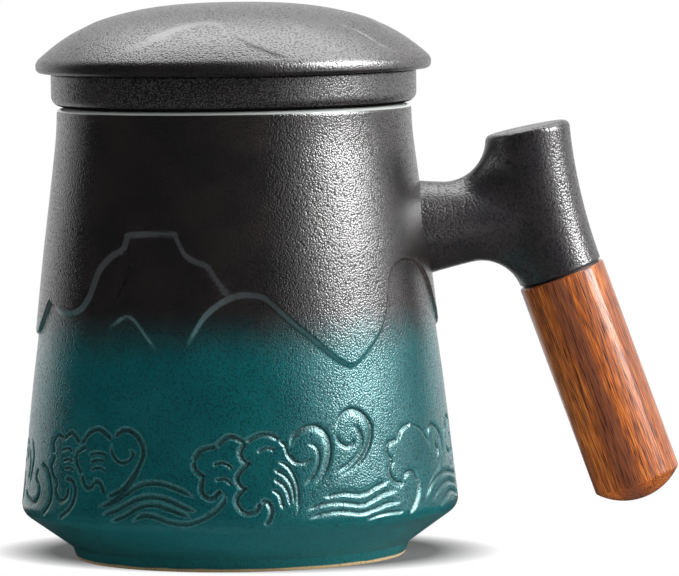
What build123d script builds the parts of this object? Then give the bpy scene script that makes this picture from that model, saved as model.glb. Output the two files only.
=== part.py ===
from build123d import *

import os
from math import cos, radians, sin, tan

# A lidded tea mug with a lift-out infuser, all of it in slip-cast ceramic, and a side grip of
# turned hardwood. The cup flares down to a low shoulder and stands on a turned foot. The infuser
# hangs in the cup by its collar, the domed lid sits on that collar, and the wooden grip is screwed
# up against the hub of the handle arm on a steel stud.
#
# Millimetres, +Z up. The origin is on the cup's axis, in the plane that the foot stands on, and +X
# points to the grip.

# Cup
cup_height = 104.6  # foot plane to the top of the lip
lip_radius = 41.15  # outside of the lip
lip_round = 1.4
cup_wall = 4.0
wall_lean = 6.3  # degrees that the wall leans in from the shoulder to the neck
neck_rise = 8.6  # the stretch below the lip in which the wall turns upright
shoulder_height = 11.2  # of the corner that shoulder_round takes off
shoulder_round = 3.5
foot_radius = 38.2
foot_flare = 1.0  # how much wider the foot is at its top than at its bottom
foot_side = 2.8
foot_ring = 5.0  # width of the ring that the cup stands on
foot_round = 0.5
foot_recess = 2.6
cup_floor = 5.0
floor_round = 12.0

# Infuser
collar_radius = 42.4
collar_height = 8.1
collar_seat_radius = 39.6  # out to here the collar bears on the lip
collar_gap = 0.4  # outside its seat, up from the lip: it shows as a shadow line
collar_low_round = 2.4
collar_top_round = 0.6
collar_mouth = 5.8  # the collar's wall, from its outside to its mouth
basket_clearance = 1.0  # between the basket and the inside of the lip
basket_depth = 70.6  # below the lip
basket_taper = 3.2  # radius lost from the top of the basket to its bottom
basket_wall = 2.6
basket_floor = 3.0
basket_round = 6.0
ledge_height = 2.8  # of the ledge inside the collar, above the lip
hole_radius = 1.25
floor_hole_pitch = 6.5  # from one ring of holes to the next
floor_hole_rings = 3
ring_share = 6  # holes that each ring has more than the ring inside it

# Lid
lid_corner_radius = 46.25  # of the edge's corner that lid_edge_round takes off
lid_corner_height = 2.3  # of that corner above the underside
lid_edge_round = 2.2
lid_under_radius = 45.55  # where the underside turns up to the edge
lid_under_round = 1.3
lid_rise = 15.8  # underside to the top of the dome
lid_wall = 4.2
crown_radius = 26.7
crown_drop = 2.6
knee_radius = 38.2  # where the crown turns down into the flank
knee_drop = 7.3
flank_fall = 42.0  # degrees below level at which the flank reaches the edge
spigot_clearance = 0.5  # between the lid's spigot and the mouth of the collar
spigot_wall = 3.0
spigot_depth = 4.4
spigot_round = 0.8
hollow_drop = 5.4  # from the middle of the lid's inside to its outer corner
hollow_round = 4.0

# Handle arm: an arm out of the cup's wall that ends in a hub, and the hub bends in towards the cup
arm_height = 75.5  # of the arm's axis where it leaves the wall
arm_rise = 5.5  # degrees
arm_root_radius = 10.9  # where the arm leaves the wall
arm_flare = 1.9  # that much wider inside the wall
arm_waist_radius = 9.05
arm_waist_reach = 13.0  # from the wall to the waist
hub_reach = 75.55  # from the cup's axis to the middle of the hub's lower end
hub_drop = 11.1  # from the arm's axis at the wall down to that point
hub_length = 34.8
hub_bend = 14.6  # degrees by which the hub straightens up over its length
hub_top_tilt = 6.1  # degrees by which its top is cut steeper than square
hub_low_radius = 9.9
hub_high_radius = 9.95
hub_flare_power = 3  # how late it widens towards its top
hub_sections = 4
hub_spare = 5.0  # cast long by this at both ends, then cut off
hub_spare_flare = 0.2
hub_blend = 9.8  # of the corner between arm and hub
hub_top_round = 1.5
hub_low_round = 0.5

# Grip
grip_lean = 19.6  # degrees from upright, the free end of the grip leaning out
grip_radius = 10.25
grip_length = 51.3  # straight part
grip_dome = 4.5
grip_top_chamfer = 0.35
grip_end_round = 0.9
washer_radius = 9.2
washer_thickness = 0.5
stud_radius = 3.0
stud_chamfer = 0.6
stud_in_hub = 13.0
stud_in_grip = 20.0
stud_play = 0.2  # round the stud in the washer and in the wood past the insert
stud_end_room = 2.0  # of bore in the wood past the end of the stud
cement_wall = 1.6
cement_end = 1.5  # of cement past the end of the stud
insert_wall = 1.6
insert_length = 15.0

# What follows from them
same = 1e-3  # two lengths closer than this are one
neck_height = cup_height - neck_rise
neck_radius = lip_radius + neck_rise * tan(radians(wall_lean) / 2)
floor_height = foot_recess + cup_floor
basket_radius = lip_radius - cup_wall - basket_clearance
basket_low = cup_height - basket_depth
basket_low_radius = basket_radius - basket_taper
collar_top = cup_height + collar_height
mouth_radius = collar_radius - collar_mouth
spigot_radius = mouth_radius - spigot_clearance
spigot_inside = spigot_radius - spigot_wall
lid_top = collar_top + lid_rise
hub_height = arm_height - hub_drop
hub_bend_radius = hub_length / radians(hub_bend)
socket_radius = stud_radius + cement_wall
socket_depth = stud_in_hub + cement_end
insert_radius = stud_radius + insert_wall


def hub_plane(length, tilt=0.0):
    """The plane across the hub at a length up from its lower end, or one tilted from it in degrees."""
    lean = radians(grip_lean) - length / hub_bend_radius
    x = hub_reach - hub_bend_radius * (cos(lean) - cos(radians(grip_lean)))
    z = hub_height + hub_bend_radius * (sin(radians(grip_lean)) - sin(lean))
    lean += radians(tilt)
    return Plane(origin=(x, 0, z), x_dir=(cos(lean), 0, sin(lean)), z_dir=(-sin(lean), 0, cos(lean)))


seam = hub_plane(0)  # lower end of the hub, its normal up into the hub
below_washer = seam.offset(-washer_thickness)


def wall_radius(height, inset=0.0):
    """Radius of the cup's straight wall at a height, moved in by inset."""
    return neck_radius - inset + (neck_height - height) * tan(radians(wall_lean))


def at(radius, height):
    """The point at a radius and a height in the plane that outlines are turned from."""
    return (radius, 0, height)


def rings(solid, height):
    """The level, closed round edges of a solid at a height."""
    return [
        e for e in solid.edges()
        if e.is_closed and e.geom_type == GeomType.CIRCLE and abs(e.arc_center.Z - height) < same
    ]


def rounded(face, corner, radius):
    """The face with its corner at a point rounded."""
    vertex = face.vertices().sort_by(lambda v: (v.center() - Vector(corner)).length)[0]
    return fillet(vertex, radius)


def rod(plane, radius, length):
    """A rod that rises square from a plane."""
    return plane * Cylinder(radius, length, align=(Align.CENTER, Align.CENTER, Align.MIN))


def edges_in(solid, plane, reach):
    """The edges of a solid that lie in a plane and stay within a reach of its origin."""
    def inside(edge):
        points = [plane.to_local_coords(edge @ share) for share in (0, 0.5, 1)]
        return all(abs(p.Z) < same and p.length < reach for p in points)

    return [e for e in solid.edges() if inside(e)]


def wall_lines(low_height, inset=0.0):
    """The cup's wall from a height up to the lip: a straight run, then an arc that ends upright."""
    low = at(wall_radius(low_height, inset), low_height)
    neck = at(neck_radius - inset, neck_height)
    lip = at(lip_radius - inset, cup_height)
    turn = TangentArc(neck, lip, tangent=(0, 0, -1), tangent_from_first=False)
    return low, lip, [Line(low, neck), turn]


def cup_envelope():
    """The outside of the cup as a full solid."""
    shoulder, lip, wall = wall_lines(shoulder_height)
    foot_low = at(foot_radius, 0)
    foot_high = at(foot_radius + foot_flare, foot_side)
    rim = [lip, at(0, cup_height), at(0, 0), foot_low, foot_high, shoulder]
    face = make_face([*wall, Polyline(rim)])
    face = rounded(face, shoulder, shoulder_round)
    return revolve(face, Axis.Z)


def cup_cavity():
    """The space inside the cup, open at the lip."""
    corner, lip, wall = wall_lines(floor_height, cup_wall)
    face = make_face([*wall, Polyline([lip, at(0, cup_height), at(0, floor_height), corner])])
    face = rounded(face, corner, floor_round)
    return revolve(face, Axis.Z)


def mug_body():
    """The cup: its envelope less its cavity, with a recess under it that leaves the foot ring."""
    recess = rod(Plane.XY, foot_radius - foot_ring, foot_recess)
    body = cup_envelope() - cup_cavity() - recess
    body = fillet(rings(body, cup_height), lip_round)
    return fillet(rings(body, 0), foot_round)


def basket_holes():
    """Rods for the holes, one in the middle of the basket's floor and rings of them round it."""
    depth = basket_floor + basket_round
    floor_plane = Plane.XY.offset(basket_low - basket_round)
    holes = [rod(floor_plane, hole_radius, depth + basket_round)]
    for ring in range(1, floor_hole_rings + 1):
        for spot in PolarLocations(ring * floor_hole_pitch, ring * ring_share):
            holes.append(rod(floor_plane * spot, hole_radius, depth + basket_round))
    return holes


def infuser():
    """The infuser: a basket that hangs from a wide collar, with a ledge inside the collar."""
    inner_low = basket_low_radius - basket_wall
    outside_low = at(basket_low_radius, basket_low)
    inside_low = at(inner_low, basket_low + basket_floor)
    collar_low = at(collar_radius, cup_height + collar_gap)
    collar_high = at(collar_radius, collar_top)
    ledge = cup_height + ledge_height
    face = make_face(
        Polyline(
            at(0, basket_low),
            outside_low,
            at(basket_radius, cup_height),
            at(collar_seat_radius, cup_height),
            at(collar_seat_radius, cup_height + collar_gap),
            collar_low,
            collar_high,
            at(mouth_radius, collar_top),
            at(mouth_radius, ledge),
            at(basket_radius - basket_wall, ledge),
            inside_low,
            at(0, basket_low + basket_floor),
            close=True,
        )
    )
    face = rounded(face, outside_low, basket_round)
    face = rounded(face, inside_low, basket_round - basket_wall)
    face = rounded(face, collar_low, collar_low_round)
    face = rounded(face, collar_high, collar_top_round)
    return revolve(face, Axis.Z) - basket_holes()


def lid():
    """The lid: a shallow dome with a rounded edge, hollow below, and a spigot for the collar."""
    edge_out = at(lid_corner_radius, collar_top + lid_corner_height)
    edge_in = at(lid_under_radius, collar_top)
    top = at(0, lid_top)
    hollow_top = at(0, lid_top - lid_wall)
    hollow_corner = at(spigot_inside, lid_top - lid_wall - hollow_drop)
    spigot_low = collar_top - spigot_depth
    spigot_in = at(spigot_inside, spigot_low)
    spigot_out = at(spigot_radius, spigot_low)
    dome = Spline(
        top,
        at(crown_radius, lid_top - crown_drop),
        at(knee_radius, lid_top - knee_drop),
        edge_out,
        tangents=[(1, 0, 0), (cos(radians(flank_fall)), 0, -sin(radians(flank_fall)))],
    )
    ceiling = TangentArc(hollow_top, hollow_corner, tangent=(1, 0, 0))
    spigot_root = at(spigot_radius, collar_top)
    below = Polyline(edge_out, edge_in, spigot_root, spigot_out, spigot_in, hollow_corner)
    face = make_face([dome, below, ceiling, Line(hollow_top, top)])
    face = rounded(face, edge_out, lid_edge_round)
    face = rounded(face, edge_in, lid_under_round)
    face = rounded(face, hollow_corner, hollow_round)
    face = rounded(face, spigot_out, spigot_round)
    face = rounded(face, spigot_in, spigot_round)
    return revolve(face, Axis.Z)


def hub():
    """The bent hub, lofted through circles that widen to its top, with some to spare at both ends."""
    circles = []
    for step in range(hub_sections):
        length = hub_length * step / (hub_sections - 1)
        flare = (hub_high_radius - hub_low_radius) * (length / hub_length) ** hub_flare_power
        circles.append(hub_plane(length) * Circle(hub_low_radius + flare))
    low = hub_plane(-hub_spare) * Circle(hub_low_radius)
    high = hub_plane(hub_length + hub_spare) * Circle(hub_high_radius + hub_spare_flare)
    return loft([low, *circles, high])


def arm():
    """The arm, turned about its own rising axis: flared at the wall, waisted before the hub."""
    rise = radians(arm_rise)
    start = wall_radius(arm_height) - arm_root_radius
    axis_plane = Plane(
        origin=(start, 0, arm_height - arm_root_radius * tan(rise)),
        x_dir=(cos(rise), 0, sin(rise)),
        z_dir=(0, -1, 0),
    )
    run = hub_plane(hub_length / 2).origin.X - start
    flank_start = (0, arm_root_radius + arm_flare)
    flank_end = (run, arm_waist_radius)
    flank = Spline(
        flank_start,
        (arm_root_radius, arm_root_radius),
        (arm_root_radius + arm_waist_reach, arm_waist_radius),
        flank_end,
    )
    face = make_face([flank, Polyline([flank_end, (run, 0), (0, 0), flank_start])])
    return revolve(axis_plane * face, Axis(axis_plane.origin, axis_plane.x_dir))


def handle_arm():
    """Arm and hub in one casting, blended together, cut to the cup's wall, with the stud's socket."""
    joined = hub() + arm()
    loops = joined.edges().filter_by(lambda e: e.is_closed and e.geom_type == GeomType.BSPLINE)
    joined = fillet(loops.sort_by(lambda e: abs(e.center().Z - arm_height))[0], hub_blend)
    top = hub_plane(hub_length, hub_top_tilt)
    reach = hub_high_radius + hub_blend
    joined = split(split(joined, bisect_by=top, keep=Keep.BOTTOM), bisect_by=seam, keep=Keep.TOP)
    joined = fillet(edges_in(joined, top, reach), hub_top_round)
    joined = fillet(edges_in(joined, seam, reach), hub_low_round)
    return joined - cup_envelope() - rod(seam, socket_radius, socket_depth)


def grip():
    """The turned grip: a straight rod with a shallow domed end, bored for the insert and the stud."""
    reach = grip_radius + same
    wood = rod(seam.offset(-washer_thickness - grip_length), grip_radius, grip_length)
    wood = chamfer(edges_in(wood, below_washer, reach), grip_top_chamfer)
    end_plane = seam.offset(-washer_thickness - grip_length)
    cap_radius = (grip_radius**2 + grip_dome**2) / (2 * grip_dome)
    ball = end_plane.offset(cap_radius - grip_dome) * Sphere(cap_radius)
    end = ball & rod(end_plane.offset(-grip_dome), grip_radius, grip_dome)
    wood = wood + end
    wood = fillet(edges_in(wood, end_plane, reach), grip_end_round)
    insert_bore = rod(below_washer.offset(-insert_length), insert_radius, insert_length)
    depth = stud_in_grip + stud_end_room
    stud_bore = rod(below_washer.offset(-depth), stud_radius + stud_play, depth)
    return wood - insert_bore - stud_bore


def grip_washer():
    """The thin black washer in the seam between hub and grip."""
    blank = rod(below_washer, washer_radius, washer_thickness)
    return blank - rod(below_washer, stud_radius + stud_play, washer_thickness)


def grip_stud():
    """The headless steel stud: cemented in the hub, screwed into the grip."""
    length = stud_in_hub + washer_thickness + stud_in_grip
    start = below_washer.offset(-stud_in_grip)
    stud = rod(start, stud_radius, length)
    reach = stud_radius + same
    ends = [*edges_in(stud, start, reach), *edges_in(stud, start.offset(length), reach)]
    return chamfer(ends, stud_chamfer)


def stud_cement():
    """The sleeve of cement that holds the stud in the hub's socket."""
    return rod(seam, socket_radius, socket_depth) - grip_stud()


def grip_insert():
    """The brass insert in the wood that the stud screws into."""
    start = below_washer.offset(-insert_length)
    return rod(start, insert_radius, insert_length) - rod(start, stud_radius, insert_length)


if __name__ == "__main__":
    os.makedirs("parts", exist_ok=True)
    pieces = {
        "mug_body": mug_body(),
        "handle_arm": handle_arm(),
        "infuser": infuser(),
        "lid": lid(),
        "grip": grip(),
        "grip_washer": grip_washer(),
        "grip_stud": grip_stud(),
        "stud_cement": stud_cement(),
        "grip_insert": grip_insert(),
    }
    for node, solid in pieces.items():
        print(node, round(solid.volume), solid.is_valid, len(solid.solids()))
        export_step(solid, f"parts/{node}.step")
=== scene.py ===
"""Looks of a lidded ceramic tea mug: relief cup, infuser, domed lid and slanted rosewood side grip."""

import logging
import math
from collections.abc import Iterable, Sequence
from dataclasses import dataclass
from enum import Enum

import bmesh
import bpy
import numpy as np
from mathutils import Matrix, Vector


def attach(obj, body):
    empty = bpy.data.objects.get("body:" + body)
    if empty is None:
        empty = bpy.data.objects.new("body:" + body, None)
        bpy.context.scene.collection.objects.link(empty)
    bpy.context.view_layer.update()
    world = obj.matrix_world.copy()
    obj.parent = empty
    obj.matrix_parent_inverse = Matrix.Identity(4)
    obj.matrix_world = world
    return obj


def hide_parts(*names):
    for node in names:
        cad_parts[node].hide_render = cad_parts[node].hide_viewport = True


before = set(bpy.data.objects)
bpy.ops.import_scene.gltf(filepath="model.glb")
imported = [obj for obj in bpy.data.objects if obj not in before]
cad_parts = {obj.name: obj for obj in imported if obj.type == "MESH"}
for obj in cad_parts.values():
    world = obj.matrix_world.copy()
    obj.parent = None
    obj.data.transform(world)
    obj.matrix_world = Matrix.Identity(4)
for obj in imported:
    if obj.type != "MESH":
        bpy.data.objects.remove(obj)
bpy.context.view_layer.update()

log = logging.getLogger("tea_mug")

MM = 0.001
Pair = tuple[float, float]
Points = tuple[Pair, ...]
Colour = tuple[float, float, float]


# ---------------------------------------------------------------- shader building


class Term:
    """A socket inside a material; arithmetic on it adds Math nodes."""

    def __init__(self, graph: "Graph", socket: bpy.types.NodeSocket) -> None:
        """Wraps a socket.

        Args:
            graph: the graph that the socket belongs to.
            socket: the output socket that holds the value.
        """
        self.graph = graph
        self.socket = socket

    def maths(self, operation: str, *values: "Term | float") -> "Term":
        """Adds one Math node.

        Args:
            operation: the node's operation.
            *values: its inputs, in order.

        Returns:
            The node's result.
        """
        inputs = dict(enumerate(values))
        return self.graph.node("ShaderNodeMath", {"operation": operation}, inputs)

    def __add__(self, other: "Term | float") -> "Term":
        """Sum."""
        return self.maths("ADD", self, other)

    __radd__ = __add__

    def __sub__(self, other: "Term | float") -> "Term":
        """Difference."""
        return self.maths("SUBTRACT", self, other)

    def __rsub__(self, other: float) -> "Term":
        """Difference from a number."""
        return self.maths("SUBTRACT", other, self)

    def __mul__(self, other: "Term | float") -> "Term":
        """Product."""
        return self.maths("MULTIPLY", self, other)

    __rmul__ = __mul__

    def __truediv__(self, other: "Term | float") -> "Term":
        """Quotient."""
        return self.maths("DIVIDE", self, other)

    def __rtruediv__(self, other: float) -> "Term":
        """A number divided by this."""
        return self.maths("DIVIDE", other, self)

    def __pow__(self, other: "Term | float") -> "Term":
        """Power."""
        return self.maths("POWER", self, other)

    def clamped(self) -> "Term":
        """Held between 0 and 1."""
        settings = {"operation": "ADD", "use_clamp": True}
        return self.graph.node("ShaderNodeMath", settings, {0: self, 1: 0.0})

    def swing(self, width: float) -> "Term":
        """A value from 0 to 1 as one from half the width below 0 to half of it above."""
        return (self - 0.5) * width

    def ramp(self, start: float, end: float) -> "Term":
        """Soft step from 0 at start to 1 at end.

        Args:
            start: value that gives 0.
            end: value that gives 1.

        Returns:
            The smoothed step.
        """
        low, high = min(start, end), max(start, end)
        to_low, to_high = (0.0, 1.0) if start < end else (1.0, 0.0)
        return self.graph.node(
            "ShaderNodeMapRange",
            {"interpolation_type": "SMOOTHSTEP"},
            {0: self, 1: low, 2: high, 3: to_low, 4: to_high},
        )

    def ramp_mm(self, span: Pair) -> "Term":
        """Soft step of a length in metres, over a span that is given in millimetres."""
        return self.ramp(span[0] * MM, span[1] * MM)


class Graph:
    """The node tree of a material, or of the surroundings."""

    def __init__(self, owner: bpy.types.Material | bpy.types.World) -> None:
        """Empties a tree.

        Args:
            owner: the material or the world that the tree belongs to.
        """
        owner.use_nodes = True
        self.owner = owner
        self.tree = owner.node_tree
        self.tree.nodes.clear()

    @classmethod
    def material(cls, name: str) -> "Graph":
        """Starts a material of that name."""
        return cls(bpy.data.materials.new(name))

    def node(self, kind: str, settings: dict, inputs: dict, out: int | str = 0) -> Term:
        """Adds a node, sets it up and fills its sockets.

        Args:
            kind: Blender's type name of the node.
            settings: what is set on the node before its sockets; "stops" fills a colour ramp.
            inputs: values or terms by the socket's name or number.
            out: the output to hand back.

        Returns:
            The chosen output.
        """
        made = self.tree.nodes.new(kind)
        for key, value in settings.items():
            if key == "stops":
                fill_ramp(made.color_ramp, value)
            else:
                setattr(made, key, value)
        for key, value in inputs.items():
            if isinstance(value, Term):
                self.tree.links.new(value.socket, made.inputs[key])
            elif isinstance(value, tuple) and made.inputs[key].type == "RGBA":
                made.inputs[key].default_value = (*value, 1.0)
            else:
                made.inputs[key].default_value = value
        return Term(self, made.outputs[out] if made.outputs else None)

    def place(self) -> Term:
        """The position on the object, in metres in the mug's own frame."""
        return self.node("ShaderNodeTexCoord", {}, {}, "Object")

    def axis(self, place: Term, letter: str) -> Term:
        """One coordinate of a position."""
        return self.node("ShaderNodeSeparateXYZ", {}, {0: place}, letter)

    def held(self, name: str) -> Term:
        """A value that the mesh carries at its points."""
        return self.node("ShaderNodeAttribute", {"attribute_name": name}, {}, "Fac")

    def rays(self) -> tuple[Term, ...]:
        """1 for what the eye sees, for what a gloss mirrors and for what shows through, in turn."""
        kinds = ("Is Camera Ray", "Is Glossy Ray", "Is Transmission Ray")
        return tuple(self.node("ShaderNodeLightPath", {}, {}, kind) for kind in kinds)

    def noise(self, place: Term, grain: float, detail: float = 2.0, distortion: float = 0.0) -> Term:
        """Cloudy noise.

        Args:
            place: where it is looked up.
            grain: size of its lumps in millimetres.
            detail: how many finer layers it has.
            distortion: how much its lumps are pulled about.

        Returns:
            The noise, about 0.5 on average.
        """
        inputs = {"Vector": place, "Scale": 1 / (grain * MM), "Detail": detail}
        return self.node("ShaderNodeTexNoise", {}, inputs | {"Distortion": distortion})

    def blend(self, share: Term | float, first: Term | Colour, second: Term | Colour) -> Term:
        """Mixes two colours.

        Args:
            share: how much of the second there is.
            first: colour at share 0.
            second: colour at share 1.

        Returns:
            The mixed colour.
        """
        inputs = {0: share, 6: first, 7: second}
        return self.node("ShaderNodeMix", {"data_type": "RGBA"}, inputs, 2)

    def scaled(self, place: Term, size: tuple[float, float, float]) -> Term:
        """A position stretched along its axes."""
        inputs = {0: place, 1: size}
        return self.node("ShaderNodeVectorMath", {"operation": "MULTIPLY"}, inputs)

    def bump(self, height: Term, depth: float) -> Term:
        """A normal that shows a height of 0 to 1 as one of that depth in millimetres."""
        return self.node("ShaderNodeBump", {}, {"Height": height, "Distance": depth * MM})

    def shader(self, **sockets: Term | float | Colour) -> Term:
        """Adds one shader.

        Args:
            **sockets: its sockets by name, with _ for each space.

        Returns:
            The shader.
        """
        inputs = {key.replace("_", " "): value for key, value in sockets.items()}
        return self.node("ShaderNodeBsdfPrincipled", {}, inputs)

    def layered(self, share: Term, under: Term, over: Term) -> Term:
        """Mixes two shaders, by the share of the second."""
        return self.node("ShaderNodeMixShader", {}, {0: share, 1: under, 2: over})

    def ended(self, shader: Term) -> bpy.types.Material:
        """Ends the material with the shader that it shows."""
        self.node("ShaderNodeOutputMaterial", {}, {"Surface": shader})
        return self.owner


def fill_ramp(ramp: bpy.types.ColorRamp, stops: Sequence[tuple[float, Colour]]) -> None:
    """Sets a ramp's stops.

    Args:
        ramp: the ramp.
        stops: place and colour of each, in order.
    """
    while len(ramp.elements) < len(stops):
        ramp.elements.new(0.5)
    for element, (place, colour) in zip(ramp.elements, stops, strict=True):
        element.position = place
        element.color = (*colour, 1.0)


def paint(red: int, green: int, blue: int) -> Colour:
    """A display colour as the linear one that a shader takes.

    Args:
        red: 0 to 255.
        green: 0 to 255.
        blue: 0 to 255.

    Returns:
        The linear colour.
    """
    shares = (red / 255, green / 255, blue / 255)
    return tuple(s / 12.92 if s <= 0.04045 else ((s + 0.055) / 1.055) ** 2.4 for s in shares)


# ---------------------------------------------------------------- finishes

BLACK: Colour = (0.0, 0.0, 0.0)
WHITE: Colour = (1.0, 1.0, 1.0)
CHARCOAL = paint(31, 29, 30)
CHARCOAL_WARM = paint(40, 35, 34)

GLAZE_INDEX = 1.88
CALMED = 0.85
CLOUD_GRAIN = 9.0
CLOUD_DETAIL = 3.0
CLOUD_EDGES: Pair = (0.35, 0.7)


def clouds(graph: Graph, place: Term, grain: float = CLOUD_GRAIN) -> Term:
    """The slow change over a finish, about 0.5 on average."""
    return graph.noise(place, grain, CLOUD_DETAIL)


def tinted(graph: Graph, cloud: Term, colour: Colour, second: Colour) -> Term:
    """A colour that turns into a second one where the clouds are thick."""
    return graph.blend(cloud.ramp(*CLOUD_EDGES), colour, second)


@dataclass(frozen=True)
class LeatherySkin:
    """The fine skin of the glazes: raised pebbles, and dips between them with painted shade in them.

    Attributes:
        grain: size of the pebbles in millimetres.
        depth: how deep the skin is in millimetres.
        top: height of the pebbles' tops, at which the skin is about 0 on average.
        dip_shade: colour of the painted shade in the dips.
        dip_roughness: how dull they are.
        dip_heights: heights between which they begin and are full.
        dip_share: how much of their colour shows.
    """

    grain: float = 0.44
    depth: float = 0.07
    top: float = 0.25
    dip_shade: Colour = paint(16, 15, 15)
    dip_roughness: float = 0.7
    dip_heights: Pair = (0.05, -0.3)
    dip_share: float = 0.4

    def height(self, graph: Graph, place: Term) -> Term:
        """The height of the skin at a place, about 0 on average."""
        inputs = {"Vector": place, "Scale": 1 / (self.grain * MM)}
        away = graph.node("ShaderNodeTexVoronoi", {}, inputs, "Distance")
        return self.top - away * away

    def dimpled(self, graph: Graph, glaze: Term, height: Term, seam_shade: Term | float = 0.0) -> Term:
        """A glaze with painted shade in its skin's dips.

        Args:
            graph: the material's graph.
            glaze: the glaze's own shader.
            height: height of its skin, where the skin shows.
            seam_shade: 1 where the whole glaze takes the painted shade.

        Returns:
            The shaded glaze.
        """
        # painted shade: a dark, dull shader is mixed in over the skin's dips, and over the whole glaze
        # where asked
        shade = graph.shader(Base_Color=self.dip_shade, Roughness=self.dip_roughness, Specular_IOR_Level=0.0)
        share = height.ramp(*self.dip_heights) * self.dip_share + seam_shade
        return graph.layered(share.clamped(), glaze, shade)


@dataclass(frozen=True)
class CharcoalGlaze:
    """Satin charcoal glaze with a leathery skin, which is smoother on the ledges of a relief."""

    name: str = "charcoal_glaze"
    skin: LeatherySkin = LeatherySkin()
    roughness: float = 0.29
    roughness_drift: float = 0.12
    index: float = 2.1
    base: Colour = CHARCOAL
    warm: Colour = CHARCOAL_WARM

    def made(self) -> bpy.types.Material:
        """Builds the material.

        Returns:
            The material.
        """
        graph = Graph.material(self.name)
        place = graph.place()
        cloud = clouds(graph, place)
        height = self.skin.height(graph, place) * (1 - graph.held("calm") * CALMED)
        glaze = graph.shader(
            Base_Color=tinted(graph, cloud, self.base, self.warm),
            Roughness=self.roughness + cloud.swing(self.roughness_drift),
            IOR=self.index,
            Normal=graph.bump(height, self.skin.depth),
        )
        return graph.ended(self.skin.dimpled(graph, glaze, height))


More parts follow.
